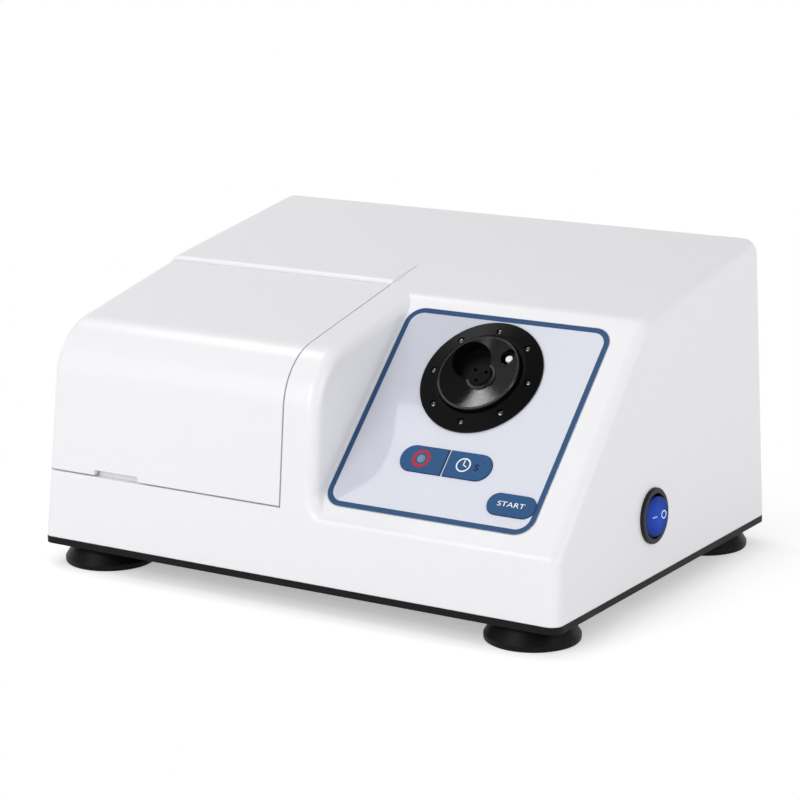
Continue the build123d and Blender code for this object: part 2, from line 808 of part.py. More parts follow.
# ---------------------------------------------------------------- lid
def c_arm(x):
    """C-shaped arm that carries the lid round the edge of the rear top to its pin."""
    outer = hinge_arm_radius + hinge_arm_thickness
    start, end = hinge_arm_sweep
    steps = 5
    fan = [(pivot_y, pivot_z)]
    for i in range(steps + 1):
        angle = radians(start + (end - start) * i / steps)
        fan.append((pivot_y + 2 * outer * cos(angle), pivot_z + 2 * outer * sin(angle)))
    half = hinge_arm_width / 2
    curve = along_x(x, pivot_y, pivot_z) * ring(outer, hinge_arm_radius, -half, half)
    curve = curve & side_profile(fan, x - half, x + half)
    web_turn = end - 270 - degrees(hinge_web / 2 / hinge_arm_radius)
    web = Pos(x, pivot_y, pivot_z) * Rot(web_turn, 0, 0) * block(
        -half, half, -hinge_web / 2, hinge_web / 2, -hinge_arm_radius - 1, 0
    )
    boss = along_x(x, pivot_y, pivot_z) * rod(hinge_boss_radius, -half, half)
    return curve + web + boss


def make_lid():
    undercut = [
        (seam_y - seam_gap, FAR),
        (seam_y - seam_gap, lid_rear_z - undercut_levels[0]),
        (seam_y - seam_gap - lid_undercut, lid_rear_z - lid_wall),
        (seam_y - seam_gap - lid_undercut, lid_rear_z - undercut_levels[1]),
        (seam_y - seam_gap, lid_rear_z - undercut_levels[2]),
        (seam_y - seam_gap, 0),
        (FAR, 0),
        (FAR, FAR),
    ]
    body = lid_body & block(-FAR, seam_x - seam_gap, -FAR, seam_y, seam_z + seam_gap, FAR)
    body = body - side_profile(undercut, -FAR, FAR)
    skin = body - inner_form(lid_wall, hollow_bottom)
    root_rear = pivot_y - hinge_arm_radius
    half = hinge_arm_width / 2
    for x in hinge_arm_xs:
        root = block(x - half, x + half, root_rear - hinge_root, root_rear, pivot_z, FAR) & body
        skin = skin + root + c_arm(x)
    reach = magnet_radius + magnet_wall
    magnet_boss = block(
        magnet_x - reach, magnet_x + reach,
        -FAR, magnet_y + reach, magnet_z, magnet_z + magnet_height + magnet_wall,
    )
    skin = skin + (magnet_boss & body)
    pin_bore = rod(pin_radius + pin_clearance, -half - 1, half + 1)
    cuts = [along_x(x, pivot_y, pivot_z) * pin_bore for x in hinge_arm_xs]
    cuts.append(Pos(magnet_x, magnet_y, 0) * rod(magnet_radius + press_gap, 0, magnet_z + magnet_height))
    cuts.append(
        block(
            notch_centre_x - notch_width / 2, notch_centre_x + notch_width / 2,
            -FAR, magnet_y, 0, seam_z + notch_height,
        )
    )
    return skin - cuts


save("lid", make_lid())
save("lid_magnet", Pos(magnet_x, magnet_y, 0) * rod(magnet_radius, magnet_z, magnet_z + magnet_height))
pin_half = hinge_arm_width / 2 + ear_gap + ear_thickness
hinge_pins = [along_x(x, pivot_y, pivot_z) * rod(pin_radius, -pin_half, pin_half) for x in hinge_arm_xs]
save("hinge_pins", group(hinge_pins))


# ---------------------------------------------------------------- base, feet and screws
def make_base_plate():
    outline = RectangleRounded(width, depth, edge_radius)
    plate = Pos(0, 0, foot_height) * extrude(outline, base_thickness)
    sink = foot_height + screw_head_height
    cuts = []
    for x, y in base_screw_spots:
        cuts.append(Pos(x, y, 0) * rod(screw_radius + screw_clearance, 0, FAR))
        cuts.append(Pos(x, y, 0) * rod(screw_head_radius + screw_clearance, 0, sink))
    cuts += [Pos(x, y, 0) * rod(screw_radius + screw_clearance, 0, FAR) for x, y in foot_spots]
    vent = Box(base_vent_length, base_vent_width, FAR)
    for i in range(base_vent_count):
        y = shaft_y + (i - (base_vent_count - 1) / 2) * base_vent_pitch
        cuts.append(Pos(base_vent_x, y, 0) * vent)
    return plate - cuts


def foot(x, y):
    """Rubber foot that flares towards the bench, with a recess for its screw."""
    cone = Cone(foot_radius, foot_top_radius, foot_height - foot_rim)
    body = rod(foot_radius, 0, foot_rim) + Pos(0, 0, (foot_rim + foot_height) / 2) * cone
    body = fillet(body.edges().filter_by(GeomType.CIRCLE).sort_by(Axis.Z)[0], foot_rounding)
    body = body - rod(foot_screw_head, -1, foot_screw_z) - rod(screw_radius + screw_clearance, -1, FAR)
    return Pos(x, y, 0) * body


def foot_screw(x, y):
    low = foot_screw_z - foot_screw_height
    head = rod(foot_screw_head - screw_clearance, low, foot_screw_z)
    slot = Pos(0, 0, low) * Box(FAR, foot_screw_slot[0], 2 * foot_screw_slot[1])
    return Pos(x, y, 0) * (head - slot + rod(screw_radius, foot_screw_z, shell_z + foot_screw_reach))


def base_screw(x, y):
    """Pan-head screw driven up through the base plate, with a cross slot."""
    head = rod(screw_head_radius, foot_height, foot_height + screw_head_height)
    slot = Pos(0, 0, foot_height) * Box(screw_slot[0], screw_slot[1], 2 * screw_slot[2])
    head = head - slot - Rot(0, 0, 90) * slot
    shank = rod(screw_radius, foot_height + screw_head_height, foot_height + screw_length)
    return Pos(x, y, 0) * (head + shank)


save("base_plate", make_base_plate())
save("feet", group(foot(x, y) for x, y in foot_spots))
save("foot_screws", group(foot_screw(x, y) for x, y in foot_spots))
save("base_screws", group(base_screw(x, y) for x, y in base_screw_spots))


# ---------------------------------------------------------------- chamber tray
def make_tray():
    left = -(side_x(tray_rim_z) - wall - lip_thickness - tray_gap)
    front = front_y(tray_rim_z) + wall + lip_thickness + tray_gap
    right = seam_x - tray_gap
    rear = seam_y - tray_gap
    centre = Pos((left + right) / 2, (front + rear) / 2, 0)
    size = (right - left, rear - front)
    inside_size = (size[0] - 2 * tray_wall, size[1] - 2 * tray_wall)
    tub = extrude(RectangleRounded(*size, tray_radius), catch_z - tray_floor_z)
    inside = extrude(RectangleRounded(*inside_size, tray_radius - tray_wall), FAR)
    inside = centre * Pos(0, 0, tray_floor_z + tray_wall) * inside
    tub = centre * Pos(0, 0, tray_floor_z) * tub - inside
    rim_left = -(side_x(catch_z) - lid_wall - tray_gap)
    rim_front = front_y(catch_z) + lid_wall + tray_gap
    rim_size = (right - rim_left, rear - rim_front)
    rim = extrude(RectangleRounded(*rim_size, tray_rim_radius), tray_rim)
    tub = tub + (Pos((rim_left + right) / 2, (rim_front + rear) / 2, tray_rim_low) * rim - inside)
    half = catch_side / 2 + press_gap + 1.0
    pad = block(
        magnet_x - half, magnet_x + half, rim_front + tray_wall, magnet_y + half,
        tray_rim_low - tray_pad, catch_z,
    )
    tub = tub + pad
    leg = rod(boss_radius, shell_z, tray_floor_z + tray_wall / 2)
    bore = rod(screw_radius + press_gap, 0, foot_height + screw_length + 0.3)
    legs = [Pos(x, y, 0) * leg for x, y in tray_leg_spots]
    holes = [Pos(x, y, 0) * bore for x, y in tray_leg_spots]
    return tub + legs - holes


save("chamber_tray", make_tray())
catch_half = catch_side / 2
catch_plate = block(
    magnet_x - catch_half, magnet_x + catch_half, magnet_y - catch_half, magnet_y + catch_half,
    catch_z, catch_z + catch_thickness,
)
save("catch_plate", catch_plate)
interlock_x = seam_x + wall
interlock_z = magnet_z - interlock_drop
lid_interlock = block(
    interlock_x, interlock_x + interlock_size[0],
    magnet_y - interlock_size[1] / 2, magnet_y + interlock_size[1] / 2,
    interlock_z, interlock_z + interlock_size[2],
)
save("lid_interlock", lid_interlock)


# ---------------------------------------------------------------- label and keys
def make_label():
    size = (label_length_x - 2 * label_clearance, label_length_s - 2 * label_clearance)
    sheet = extrude(RectangleRounded(*size, label_radius), film)
    sheet = on(panel, label_centre_x, label_centre_s) * Pos(0, 0, -film_recess) * sheet
    cuts = key_openings(-wall, wall)
    cuts.append(on(panel, dial_x, dial_s) * rod(cup_outer + 0.4, -wall, wall))
    cuts += [place * rod(bezel_pilot + 0.2, -wall, wall) for place in bezel_screw_places]
    return sheet - cuts


def key_cap(shape):
    """Key with its upper edge rounded."""
    cap = shape(flange_bottom, key_top)
    top_face = cap.faces().sort_by(Axis(panel.origin, panel.z_dir))[-1]
    return fillet(top_face.edges(), key_rounding)


def row_flange(side):
    """Flange that keeps a row key from coming out; it stops short of its neighbour."""
    whole = pill(key_row_length, key_row_height, flange_bottom, flange_top, key_flange_reach)
    keep = block(*sorted((side * key_split / 2, side * FAR)), -FAR, FAR, flange_bottom, flange_top)
    return on(panel, key_row_x, key_row_s) * (whole & keep)


save("panel_label", make_label())
save("stop_key", key_cap(partial(row_key, -1)) + row_flange(-1))
save("time_key", key_cap(partial(row_key, 1)) + row_flange(1))
save("start_key", key_cap(start_shape) + start_shape(flange_bottom, flange_top, key_flange_reach))

# Key board under the panel, on four posts of the panel's own
key_board_x = (board_post_xs[0] - board_margin, board_post_xs[1] + board_margin)
key_board_s = (board_post_ss[0] - board_margin, board_post_ss[1] + board_margin)
key_spots = [
    (key_row_x - key_row_length / 4, key_row_s),
    (key_row_x + key_row_length / 4, key_row_s),
    (start_x, start_s),
]


def make_key_board():
    size_x = key_board_x[1] - key_board_x[0]
    size_s = key_board_s[1] - key_board_s[0]
    spot = on(panel, sum(key_board_x) / 2, sum(key_board_s) / 2)
    plate = spot * Pos(0, 0, board_top - board_thickness / 2) * Box(size_x, size_s, board_thickness)
    holes = [on(panel, x, s) * rod(screw_radius + 0.1, -FAR, FAR) for x, s in key_board_corners]
    return plate - holes


def tact_switch(x, s):
    body = Pos(0, 0, board_top + tact_body[2] / 2) * Box(*tact_body)
    return on(panel, x, s) * (body + rod(tact_button_radius, board_top + tact_body[2], switch_tip))


def key_board_screw(x, s):
    under = board_top - board_thickness
    head = rod(screw_head_radius, under - screw_head_height, under)
    return on(panel, x, s) * (head + rod(screw_radius, under, -wall - key_screw_gap))


save("key_board", make_key_board())
save("key_switches", group(tact_switch(x, s) for x, s in key_spots))

# ---------------------------------------------------------------- timer dial
dial_place = on(panel, dial_x, dial_s)
cup_floor = -cup_depth
cup_bottom = cup_floor - cup_base
bezel_bottom = film_top


def make_bezel():
    """Ring with a cup behind it, in which the knob turns."""
    inner = knob_radius + knob_clearance
    outline = [
        (inner, cup_bottom), (cup_outer, cup_bottom), (cup_outer, bezel_bottom),
        (bezel_radius, bezel_bottom), (bezel_radius, bezel_rim), (inner + bezel_flat, bezel_crown),
        (inner, bezel_crown),
    ]
    body = revolve(Plane.XZ * make_face(Polyline(*outline, close=True)), Axis.Z)
    body = body + rod(inner + 0.1, cup_bottom, cup_floor) - rod(bushing_radius + 0.1, -FAR, FAR)
    for i in range(bezel_screw_count):
        spot = Rot(0, 0, 360 * i / bezel_screw_count) * Pos(bezel_screw_circle, 0, 0)
        body = body - spot * rod(bezel_screw_radius + bezel_screw_gap, bezel_screw_seat, FAR)
        body = body - spot * rod(bezel_pilot + 0.1, -FAR, FAR)
    return dial_place * body


def bezel_screw(place):
    """Small round-headed screw with a slot, into the panel."""
    head = rod(bezel_screw_radius, bezel_screw_seat, bezel_screw_seat + bezel_screw_head)
    head = fillet(head.edges().sort_by(Axis.Z)[-1], bezel_screw_rounding)
    slot_floor = bezel_screw_seat + bezel_screw_head - bezel_screw_slot[1]
    slot = block(-FAR, FAR, -bezel_screw_slot[0] / 2, bezel_screw_slot[0] / 2, slot_floor, FAR)
    return place * (head - Rot(0, 0, 30) * slot + rod(bezel_pilot, -wall + 0.2, bezel_screw_seat))


def make_knob():
    """Dished knob: conical dish, middle hub, finger recess and pointer hole."""
    outline = [
        (0, knob_bottom), (knob_radius - knob_back_edge, knob_bottom),
        (knob_radius, knob_bottom + knob_back_edge),
        (knob_radius, knob_height - knob_edge), (knob_radius - knob_edge, knob_height),
        (knob_radius - knob_rim, knob_height), (hub_radius + hub_flat, dish_floor),
        (hub_radius, dish_floor), (hub_radius - knob_edge, hub_height), (0, hub_height),
    ]
    body = revolve(Plane.XZ * make_face(Polyline(*outline, close=True)), Axis.Z)
    finger = Pos(*finger_offset, 0) * rod(finger_radius, finger_floor, FAR)
    finger = finger - rod(hub_radius + hub_wall, -FAR, FAR)
    pointer = Pos(*pointer_hole_offset, 0) * rod(pointer_hole_radius, knob_bottom + pointer_floor, FAR)
    body = body - finger - pointer - rod(shaft_radius + press_gap, -FAR, shaft_top)
    body = body - [spot * rod(hub_hole_radius, dish_floor - hub_hole_depth, FAR) for spot in hub_hole_spots]
    return dial_place * body


bezel_screw_seat = film_top + bezel_screw_sink
encoder_top = cup_bottom - encoder_gap
encoder_low = encoder_top - encoder_height
hub_hole_spots = [
    Rot(0, 0, 25 + 360 * i / hub_hole_count) * Pos(hub_hole_circle, 0, 0) for i in range(hub_hole_count)
]
save("timer_bezel", make_bezel())
save("bezel_screws", group(bezel_screw(place) for place in bezel_screw_places))
save("timer_knob", make_knob())
pointer_low = knob_bottom + pointer_floor
knob_pointer = rod(pointer_radius, pointer_low, pointer_low + pointer_height)
save("knob_pointer", dial_place * Pos(*pointer_hole_offset, 0) * knob_pointer)
save("timer_shaft", dial_place * rod(shaft_radius, encoder_top - shaft_entry, shaft_top))
encoder = Pos(0, 0, (encoder_low + encoder_top) / 2) * Box(encoder_size, encoder_size, encoder_height)
encoder = encoder + rod(bushing_radius, encoder_top - 1, cup_floor + bushing_height)
encoder = encoder - rod(shaft_radius + fit_clearance, encoder_top - shaft_entry - encoder_gap, FAR)
save("timer_encoder", dial_place * encoder)


# ---------------------------------------------------------------- power switch
def make_switch_body():
    body = rod(switch_bezel_radius, 0, switch_bezel_height)
    body = fillet(body.edges().sort_by(Axis.Z)[-1], switch_rounding)
    body = body + rod(switch_body_radius, -switch_body_depth, 0)
    well = rod(rocker_well_radius, -rocker_pivot_drop, FAR)
    ball = Pos(0, 0, -rocker_pivot_drop) * Sphere(rocker_well_radius)
    body = body - well - ball
    axle = Pos(0, 0, -rocker_pivot_drop) * Rot(90, 0, 0) * Cylinder(rocker_pin_radius, 2 * switch_body_radius)
    axle = axle & rod(switch_body_radius, -FAR, FAR)
    return switch_plane.location * (body + axle)


def make_rocker():
    """Rocker with two halves that fall away from a middle ridge, tilted to one side."""
    drop = rocker_radius * 2 * tan(radians(rocker_roof))
    half = 2 * rocker_radius
    low = -rocker_skirt
    eaves = rocker_crown - drop
    outline = [(-half, low), (half, low), (half, eaves), (0, rocker_crown), (-half, eaves)]
    roof = extrude(Plane.XZ * make_face(Polyline(*outline, close=True)), FAR, both=True)
    body = rod(rocker_radius, -FAR, FAR) & roof
    body = body & (Pos(0, 0, -rocker_pivot_drop) * Sphere(rocker_ball_radius))
    bore = Pos(0, 0, -rocker_pivot_drop) * Rot(90, 0, 0) * Cylinder(rocker_pin_radius + fit_clearance, FAR)
    body = body - bore
    turn = Pos(0, 0, -rocker_pivot_drop) * Rot(0, -rocker_tilt, 0) * Pos(0, 0, rocker_pivot_drop)
    return switch_plane.location * turn * body


tab_place = switch_plane.location * Pos(0, 0, 1 - switch_body_depth - switch_tab[2] / 2)
switch_tabs = [
    tab_place * Pos(sx * switch_tab_spread[0], sy * switch_tab_spread[1], 0) * Box(*switch_tab)
    for sx in (-1, 1)
    for sy in (-1, 1)
]
save("power_switch_body", make_switch_body() + switch_tabs)
save("power_rocker", make_rocker())
nut_face = -wall - fit_clearance
nut_ring = ring(switch_nut_radius, switch_body_radius + hole_gap, nut_face - switch_nut_thickness, nut_face)
save("power_switch_nut", switch_plane.location * nut_ring)

# ---------------------------------------------------------------- inlet and fuse
inlet_place = rear_plane(inlet_x, inlet_z).location
fuse_place = rear_plane(fuse_x, inlet_z).location


def make_inlet():
    flange = extrude(RectangleRounded(inlet_flange[0], inlet_flange[1], inlet_corner), inlet_flange[2])
    back = Pos(0, 0, -inlet_body[2] / 2) * Box(*inlet_body)
    mouth = Pos(0, 0, inlet_flange[2] - inlet_cavity[2] / 2) * Box(*inlet_cavity)
    corner = Rot(0, 0, 45) * Box(inlet_key_corner, inlet_key_corner, FAR)
    mouth = mouth - [
        Pos(side * inlet_cavity[0] / 2, -inlet_cavity[1] / 2, 0) * corner for side in (-1, 1)
    ]
    hole = rod(screw_radius + screw_clearance, -FAR, FAR)
    holes = [Pos(side * inlet_screw_pitch / 2, 0, 0) * hole for side in (-1, 1)]
    return inlet_place * (flange + back - mouth - holes)


def inlet_pin_at(x, y):
    floor = inlet_flange[2] - inlet_cavity[2]
    blade = Pos(x, y, floor + inlet_pin[2] / 2) * Box(inlet_pin[1], inlet_pin[0], inlet_pin[2])
    return inlet_place * blade


save("power_inlet", make_inlet())
save("inlet_pins", group(inlet_pin_at(x, y) for x, y in inlet_pin_places))
wall_screw_top = inlet_flange[2] + wall_screw_head[1]
wall_screw = rod(wall_screw_head[0], inlet_flange[2], wall_screw_top)
wall_screw = wall_screw - Pos(0, 0, wall_screw_top) * Box(FAR, wall_screw_slot[0], 2 * wall_screw_slot[1])
wall_screw = wall_screw + rod(screw_radius, -wall - 2, inlet_flange[2])
inlet_screws = [inlet_place * Pos(side * inlet_screw_pitch / 2, 0, 0) * wall_screw for side in (-1, 1)]
save("inlet_screws", group(inlet_screws))
fuse_bore = fuse_radius - fuse_wall
holder = ring(fuse_radius, fuse_bore, -fuse_length, 0)
holder = holder + rod(fuse_radius, -fuse_length, -fuse_length + fuse_wall)
save("fuse_holder", fuse_place * holder)
cap = rod(fuse_cap_radius, fit_clearance, fuse_cap_height)
cap = cap - Pos(0, 0, fuse_cap_height) * Box(FAR, fuse_cap_slot[0], 2 * fuse_cap_slot[1])
cap = cap + ring(fuse_bore - hole_gap, fuse_bore - fuse_wall, -fuse_cap_depth, fit_clearance)
save("fuse_cap", fuse_place * cap)


# ---------------------------------------------------------------- motor
shaft_line = along_x(0, shaft_y, shaft_z)      # local z is world x
bell_front = (motor_front_x, motor_front_x + bell_length)
bell_rear = (motor_rear_x - bell_length, motor_rear_x)
core_front = (motor_front_x + motor_rear_x - core_length) / 2
core_rear = core_front + core_length
can_inner = motor_radius - can_wall
stator_inner = core_radius + air_gap
shaft_step = motor_front_x - shaft_step_gap
shaft_tip = journal_x - bearing_width / 2 - nut_reach
fan_front = motor_rear_x + fan_gap
fan_rear = fan_front + fan_width


def end_bell(x0, x1):
    """End bell with a bearing seat and cooling windows."""
    bell = rod(motor_radius, x0, x1) - rod(motor_bearing_radius + press_gap, -FAR, FAR)
    window = Pos(bell_window_circle, 0, 0) * rod(bell_window_radius, x0 - 1, x1 + 1)
    step = 360 / bell_window_count
    return bell - [Rot(0, 0, step * (i + 0.5)) * window for i in range(bell_window_count)]


def motor_bearing(x0):
    return ring(motor_bearing_radius, motor_shaft_radius + fit_clearance, x0, x0 + motor_bearing_width)


def winding(x0, x1):
    """End turns of the stator winding, as a rounded ring."""
    body = ring(can_inner - winding_gap, stator_inner + winding_gap, x0, x1)
    return fillet(body.edges().filter_by(GeomType.CIRCLE), winding_rounding)


def make_fan():
    """Hub with slanted blades."""
    root = fan_hub_radius - 1.0
    blade = Rot(fan_blade_angle, 0, 0) * Box(fan_radius - root, fan_blade_thickness, fan_width)
    blade = Pos((fan_radius + root) / 2, 0, (fan_front + fan_rear) / 2) * blade
    blade = blade & rod(fan_radius, fan_front, fan_rear)
    fan = rod(fan_hub_radius, fan_front, fan_rear)
    fan = fan + [Rot(0, 0, 360 * i / fan_blades) * blade for i in range(fan_blades)]
    return fan - rod(motor_shaft_radius + press_gap, -FAR, FAR)


save("motor_can", shaft_line * ring(motor_radius, can_inner, bell_front[1], bell_rear[0]))
save("motor_end_bells", group(shaft_line * end_bell(*ends) for ends in (bell_front, bell_rear)))
bearing_xs = [x + motor_bearing_inset for x in (bell_front[0], bell_rear[0])]
save("motor_bearings", group(shaft_line * motor_bearing(x) for x in bearing_xs))
save("stator_core", shaft_line * ring(can_inner - fit_clearance, stator_inner, core_front, core_rear))
windings = [
    winding(bell_front[1] + winding_end_gap, core_front - winding_core_gap),
    winding(core_rear + winding_core_gap, bell_rear[0] - winding_end_gap),
]
save("stator_windings", group(shaft_line * coil for coil in windings))
save("rotor_core", shaft_line * ring(core_radius, motor_shaft_radius + press_gap, core_front, core_rear))
shaft = rod(motor_shaft_radius, shaft_step, fan_rear + shaft_end_gap)
save("motor_shaft", shaft_line * (shaft + rod(journal_shaft_radius, shaft_tip, shaft_step)))
save("cooling_fan", shaft_line * make_fan())

# Bracket: a plate on four rubber mounts, two saddles, and straps over the motor
bracket_z = shell_z + mount_height
saddle_top = shaft_z - saddle_drop
saddle_xs = (motor_front_x + saddle_insets[0], motor_rear_x - saddle_insets[1] - saddle_width)
spring_x = journal_x
spring_y = seam_y + spring_behind
spring_seat_z = bracket_z + bracket_plate
land = (motor_radius + strap + saddle_half) / 2


def strap_screw_place(x, side):
    return Pos(x + saddle_width / 2, shaft_y + side * land, 0)


def make_bracket():
    """Steel bracket; a tongue reaches out under the mixing arm for the spring."""
    x0 = mount_xs[0] - bracket_margin[0]
    x1 = mount_xs[1] + bracket_margin[0]
    half = mount_reach + bracket_margin[1]
    body = block(x0, x1, shaft_y - half, shaft_y + half, bracket_z, spring_seat_z)
    half = spring_tongue / 2
    body = body + block(spring_x - half, x0 + 1, spring_y - half, spring_y + half, bracket_z, spring_seat_z)
    for x in saddle_xs:
        web = block(
            x, x + saddle_width, shaft_y - saddle_half, shaft_y + saddle_half, bracket_z, saddle_top
        )
        body = body + web
    body = body - shaft_line * rod(motor_radius + strap_gap, -FAR, FAR)
    spigot = rod(spring_spigot[0], bracket_z, spring_seat_z + spring_spigot[1])
    body = body + Pos(spring_x, spring_y, 0) * spigot
    holes = [Pos(x, y, 0) * rod(screw_radius + screw_clearance, 0, spring_seat_z + 1) for x, y in mount_spots]
    thread = rod(screw_radius + press_gap, saddle_top - strap_screw_length - 1, FAR)
    holes += [strap_screw_place(x, side) * thread for x in saddle_xs for side in (-1, 1)]
    return body - holes


def motor_strap(x):
    """Band over the motor with an ear on each saddle."""
    inner = motor_radius + strap_gap
    band = shaft_line * ring(inner + strap, inner, x, x + saddle_width)
    band = band & block(-FAR, FAR, -FAR, FAR, saddle_top, FAR)
    ears = block(
        x, x + saddle_width, shaft_y - saddle_half, shaft_y + saddle_half, saddle_top, saddle_top + strap
    )
    ears = ears - shaft_line * rod(inner + strap / 2, -FAR, FAR)
    hole = rod(screw_radius + screw_clearance, 0, FAR)
    return band + ears - [strap_screw_place(x, side) * hole for side in (-1, 1)]


def strap_screw(x, side):
    top = saddle_top + strap
    body = rod(screw_head_radius, top, top + screw_head_height)
    body = body + rod(screw_radius, saddle_top - strap_screw_length, top)
    return strap_screw_place(x, side) * body


def rubber_mount(x, y):
    return Pos(x, y, 0) * ring(mount_radius, screw_radius + press_gap, shell_z, bracket_z)


save("motor_bracket", make_bracket())
save("motor_straps", group(motor_strap(x) for x in saddle_xs))
save("motor_mounts", group(rubber_mount(x, y) for x, y in mount_spots))
machine_screws = [strap_screw(x, side) for x in saddle_xs for side in (-1, 1)]
machine_screws += [key_board_screw(x, s) for x, s in key_board_corners]
save("machine_screws", group(machine_screws))

# ---------------------------------------------------------------- skewed journal and mixing arm
arm_place = Pos(journal_x, shaft_y, shaft_z) * Rot(0, journal_skew, 0)
across = Rot(0, 90, 0)                         # local z of a rod onto the journal's axis
half_bearing = bearing_width / 2
washer_radius = journal_radius + washer_reach
journal_place = Pos(journal_x, shaft_y, shaft_z) * across
inner_race = journal_radius + bearing_ring
outer_race = bearing_outer_radius - bearing_ring
ball_radius = (outer_race - inner_race) / 2 - fit_clearance
pitch_radius = (outer_race + inner_race) / 2
bore_cut = journal_place * rod(journal_shaft_radius + press_gap, -FAR, FAR)


def make_journal():
    """Sleeve on the shaft: the part under the bearing leans by the skew."""
    shoulder = half_bearing + side_gap
    skewed = rod(journal_radius, -half_bearing, shoulder)
    skewed = skewed + rod(washer_radius, shoulder, shoulder + journal_shoulder)
    straight = rod(washer_radius, shoulder + journal_shoulder / 2, half_bearing + journal_sleeve)
    body = arm_place * across * skewed + journal_place * straight
    grub = Pos(journal_x + half_bearing + grub_setback, shaft_y, shaft_z) * rod(grub_radius, 0, FAR)
    return body - bore_cut - grub


def make_journal_nut():
    """Skewed washer and the nut that holds it."""
    washer_face = -half_bearing - side_gap
    washer = arm_place * across * rod(washer_radius, washer_face - nut_washer, washer_face)
    nut_start = shaft_tip + shaft_past_nut
    nut_length = journal_x + washer_face - nut_washer - nut_gap - nut_start
    nut = Pos(nut_start, shaft_y, shaft_z) * across * extrude(RegularPolygon(nut_radius, 6), nut_length)
    return group([washer - bore_cut, nut - bore_cut])


balls = [
    Rot(360 * i / ball_count, 0, 0) * Pos(0, 0, pitch_radius) * Sphere(ball_radius) for i in range(ball_count)
]
outer_ring = across * ring(bearing_outer_radius, outer_race, -half_bearing, half_bearing)
inner_ring = across * ring(inner_race, journal_radius + race_gap, -half_bearing, half_bearing)
save("skew_journal", make_journal())
save("journal_nut", make_journal_nut())
save("journal_bearing_inner", arm_place * inner_ring)
save("journal_bearing_outer", group(arm_place * piece for piece in [outer_ring] + balls))

eye_radius = bearing_outer_radius + arm_ring
yoke_y = -(capsule_reach - yoke_setback)       # front face of the yoke, in the arm's frame
jaw_inner = capsule_gap / 2 + cup_thickness    # inner face of a jaw plate
jaw_outer = jaw_inner + jaw_thickness
jaw_tip = -(capsule_reach + cup_radius + jaw_tip_reach)
hinge_x = jaw_inner + jaw_thickness / 2
hinge_y = yoke_y + yoke_depth / 2
yoke_half = arm_beam[1] / 2
jaw_screw_xs = [-jaw_inner + inset for inset in jaw_screw_insets]


def make_arm():
    """Eye round the bearing, beam and yoke; the yoke's right end is a clevis."""
    eye = across * ring(eye_radius, bearing_outer_radius + race_gap, -half_bearing, half_bearing)
    beam = block(-arm_beam[0] / 2, arm_beam[0] / 2, hinge_y, -eye_radius + 1, -yoke_half, yoke_half)
    beam = fillet(beam.edges().filter_by(Axis.Y), beam_rounding)
    yoke = block(-jaw_outer, hinge_x + clevis_arm, yoke_y, yoke_y + yoke_depth, -yoke_half, yoke_half)
    yoke = fillet(yoke.edges().filter_by(Axis.Z), yoke_rounding)
    notch_half = barrel_half + barrel_gap[1]
    notch = block(
        hinge_x - barrel_radius - barrel_gap[0], FAR, yoke_y - 1, yoke_y + yoke_depth + 1,
        -notch_half, notch_half,
    )
    holes = [Pos(hinge_x, hinge_y, 0) * rod(pin_radius + press_gap, -FAR, FAR)]
    thread = Rot(-90, 0, 0) * rod(jaw_screw_thread + press_gap, -1, yoke_depth - 1.5)
    holes += [Pos(x, yoke_y, 0) * thread for x in jaw_screw_xs]
    return eye + beam + (yoke - notch) - holes


def jaw_cup(side):
    """Dished cup that takes one end of the capsule."""
    place = Pos(side * capsule_gap / 2, -capsule_reach, 0) * Rot(0, side * 90, 0)
    disc = rod(cup_radius, 0, cup_thickness + cup_sink)
    return place * (disc - Cone(cup_radius - cup_lip, cup_floor_radius, cup_dish))


def make_fixed_jaw():
    plate = block(-jaw_outer, -jaw_inner, jaw_tip, yoke_y, -jaw_height / 2, jaw_height / 2)
    foot_end = jaw_screw_xs[1] + jaw_foot_margin
    foot_plate = block(-jaw_outer, foot_end, yoke_y - jaw_foot, yoke_y, -jaw_height / 2, jaw_height / 2)
    holes = [Pos(x, yoke_y, 0) * Rot(-90, 0, 0) * rod(jaw_hole_radius, -5, 5) for x in jaw_screw_xs]
    return plate + foot_plate - holes + jaw_cup(-1)


def make_moving_jaw():
    plate = block(jaw_inner, jaw_outer, jaw_tip, hinge_y - 1, -barrel_half, barrel_half)
    wide = block(jaw_inner, jaw_outer, jaw_tip, yoke_y - jaw_shoulder, -jaw_height / 2, jaw_height / 2)
    barrel = Pos(hinge_x, hinge_y, 0) * rod(barrel_radius, -barrel_half, barrel_half)
    thumb = block(
        jaw_outer - 0.5, jaw_outer + thumb_size, jaw_tip, jaw_tip + thumb_size, -barrel_half, barrel_half
    )
    bore = Pos(hinge_x, hinge_y, 0) * rod(pin_radius + pin_clearance, -FAR, FAR)
    return plate + wide + barrel + thumb - bore + jaw_cup(1)


def jaw_screw(x):
    low = -jaw_foot - jaw_screw_head[1]
    head = rod(jaw_screw_head[0], low, -jaw_foot)
    head = head - Pos(0, 0, low) * Box(FAR, jaw_screw_slot[0], 2 * jaw_screw_slot[1])
    return Pos(x, yoke_y, 0) * Rot(-90, 0, 0) * (head + rod(jaw_screw_thread, -jaw_foot, yoke_depth - 2.0))


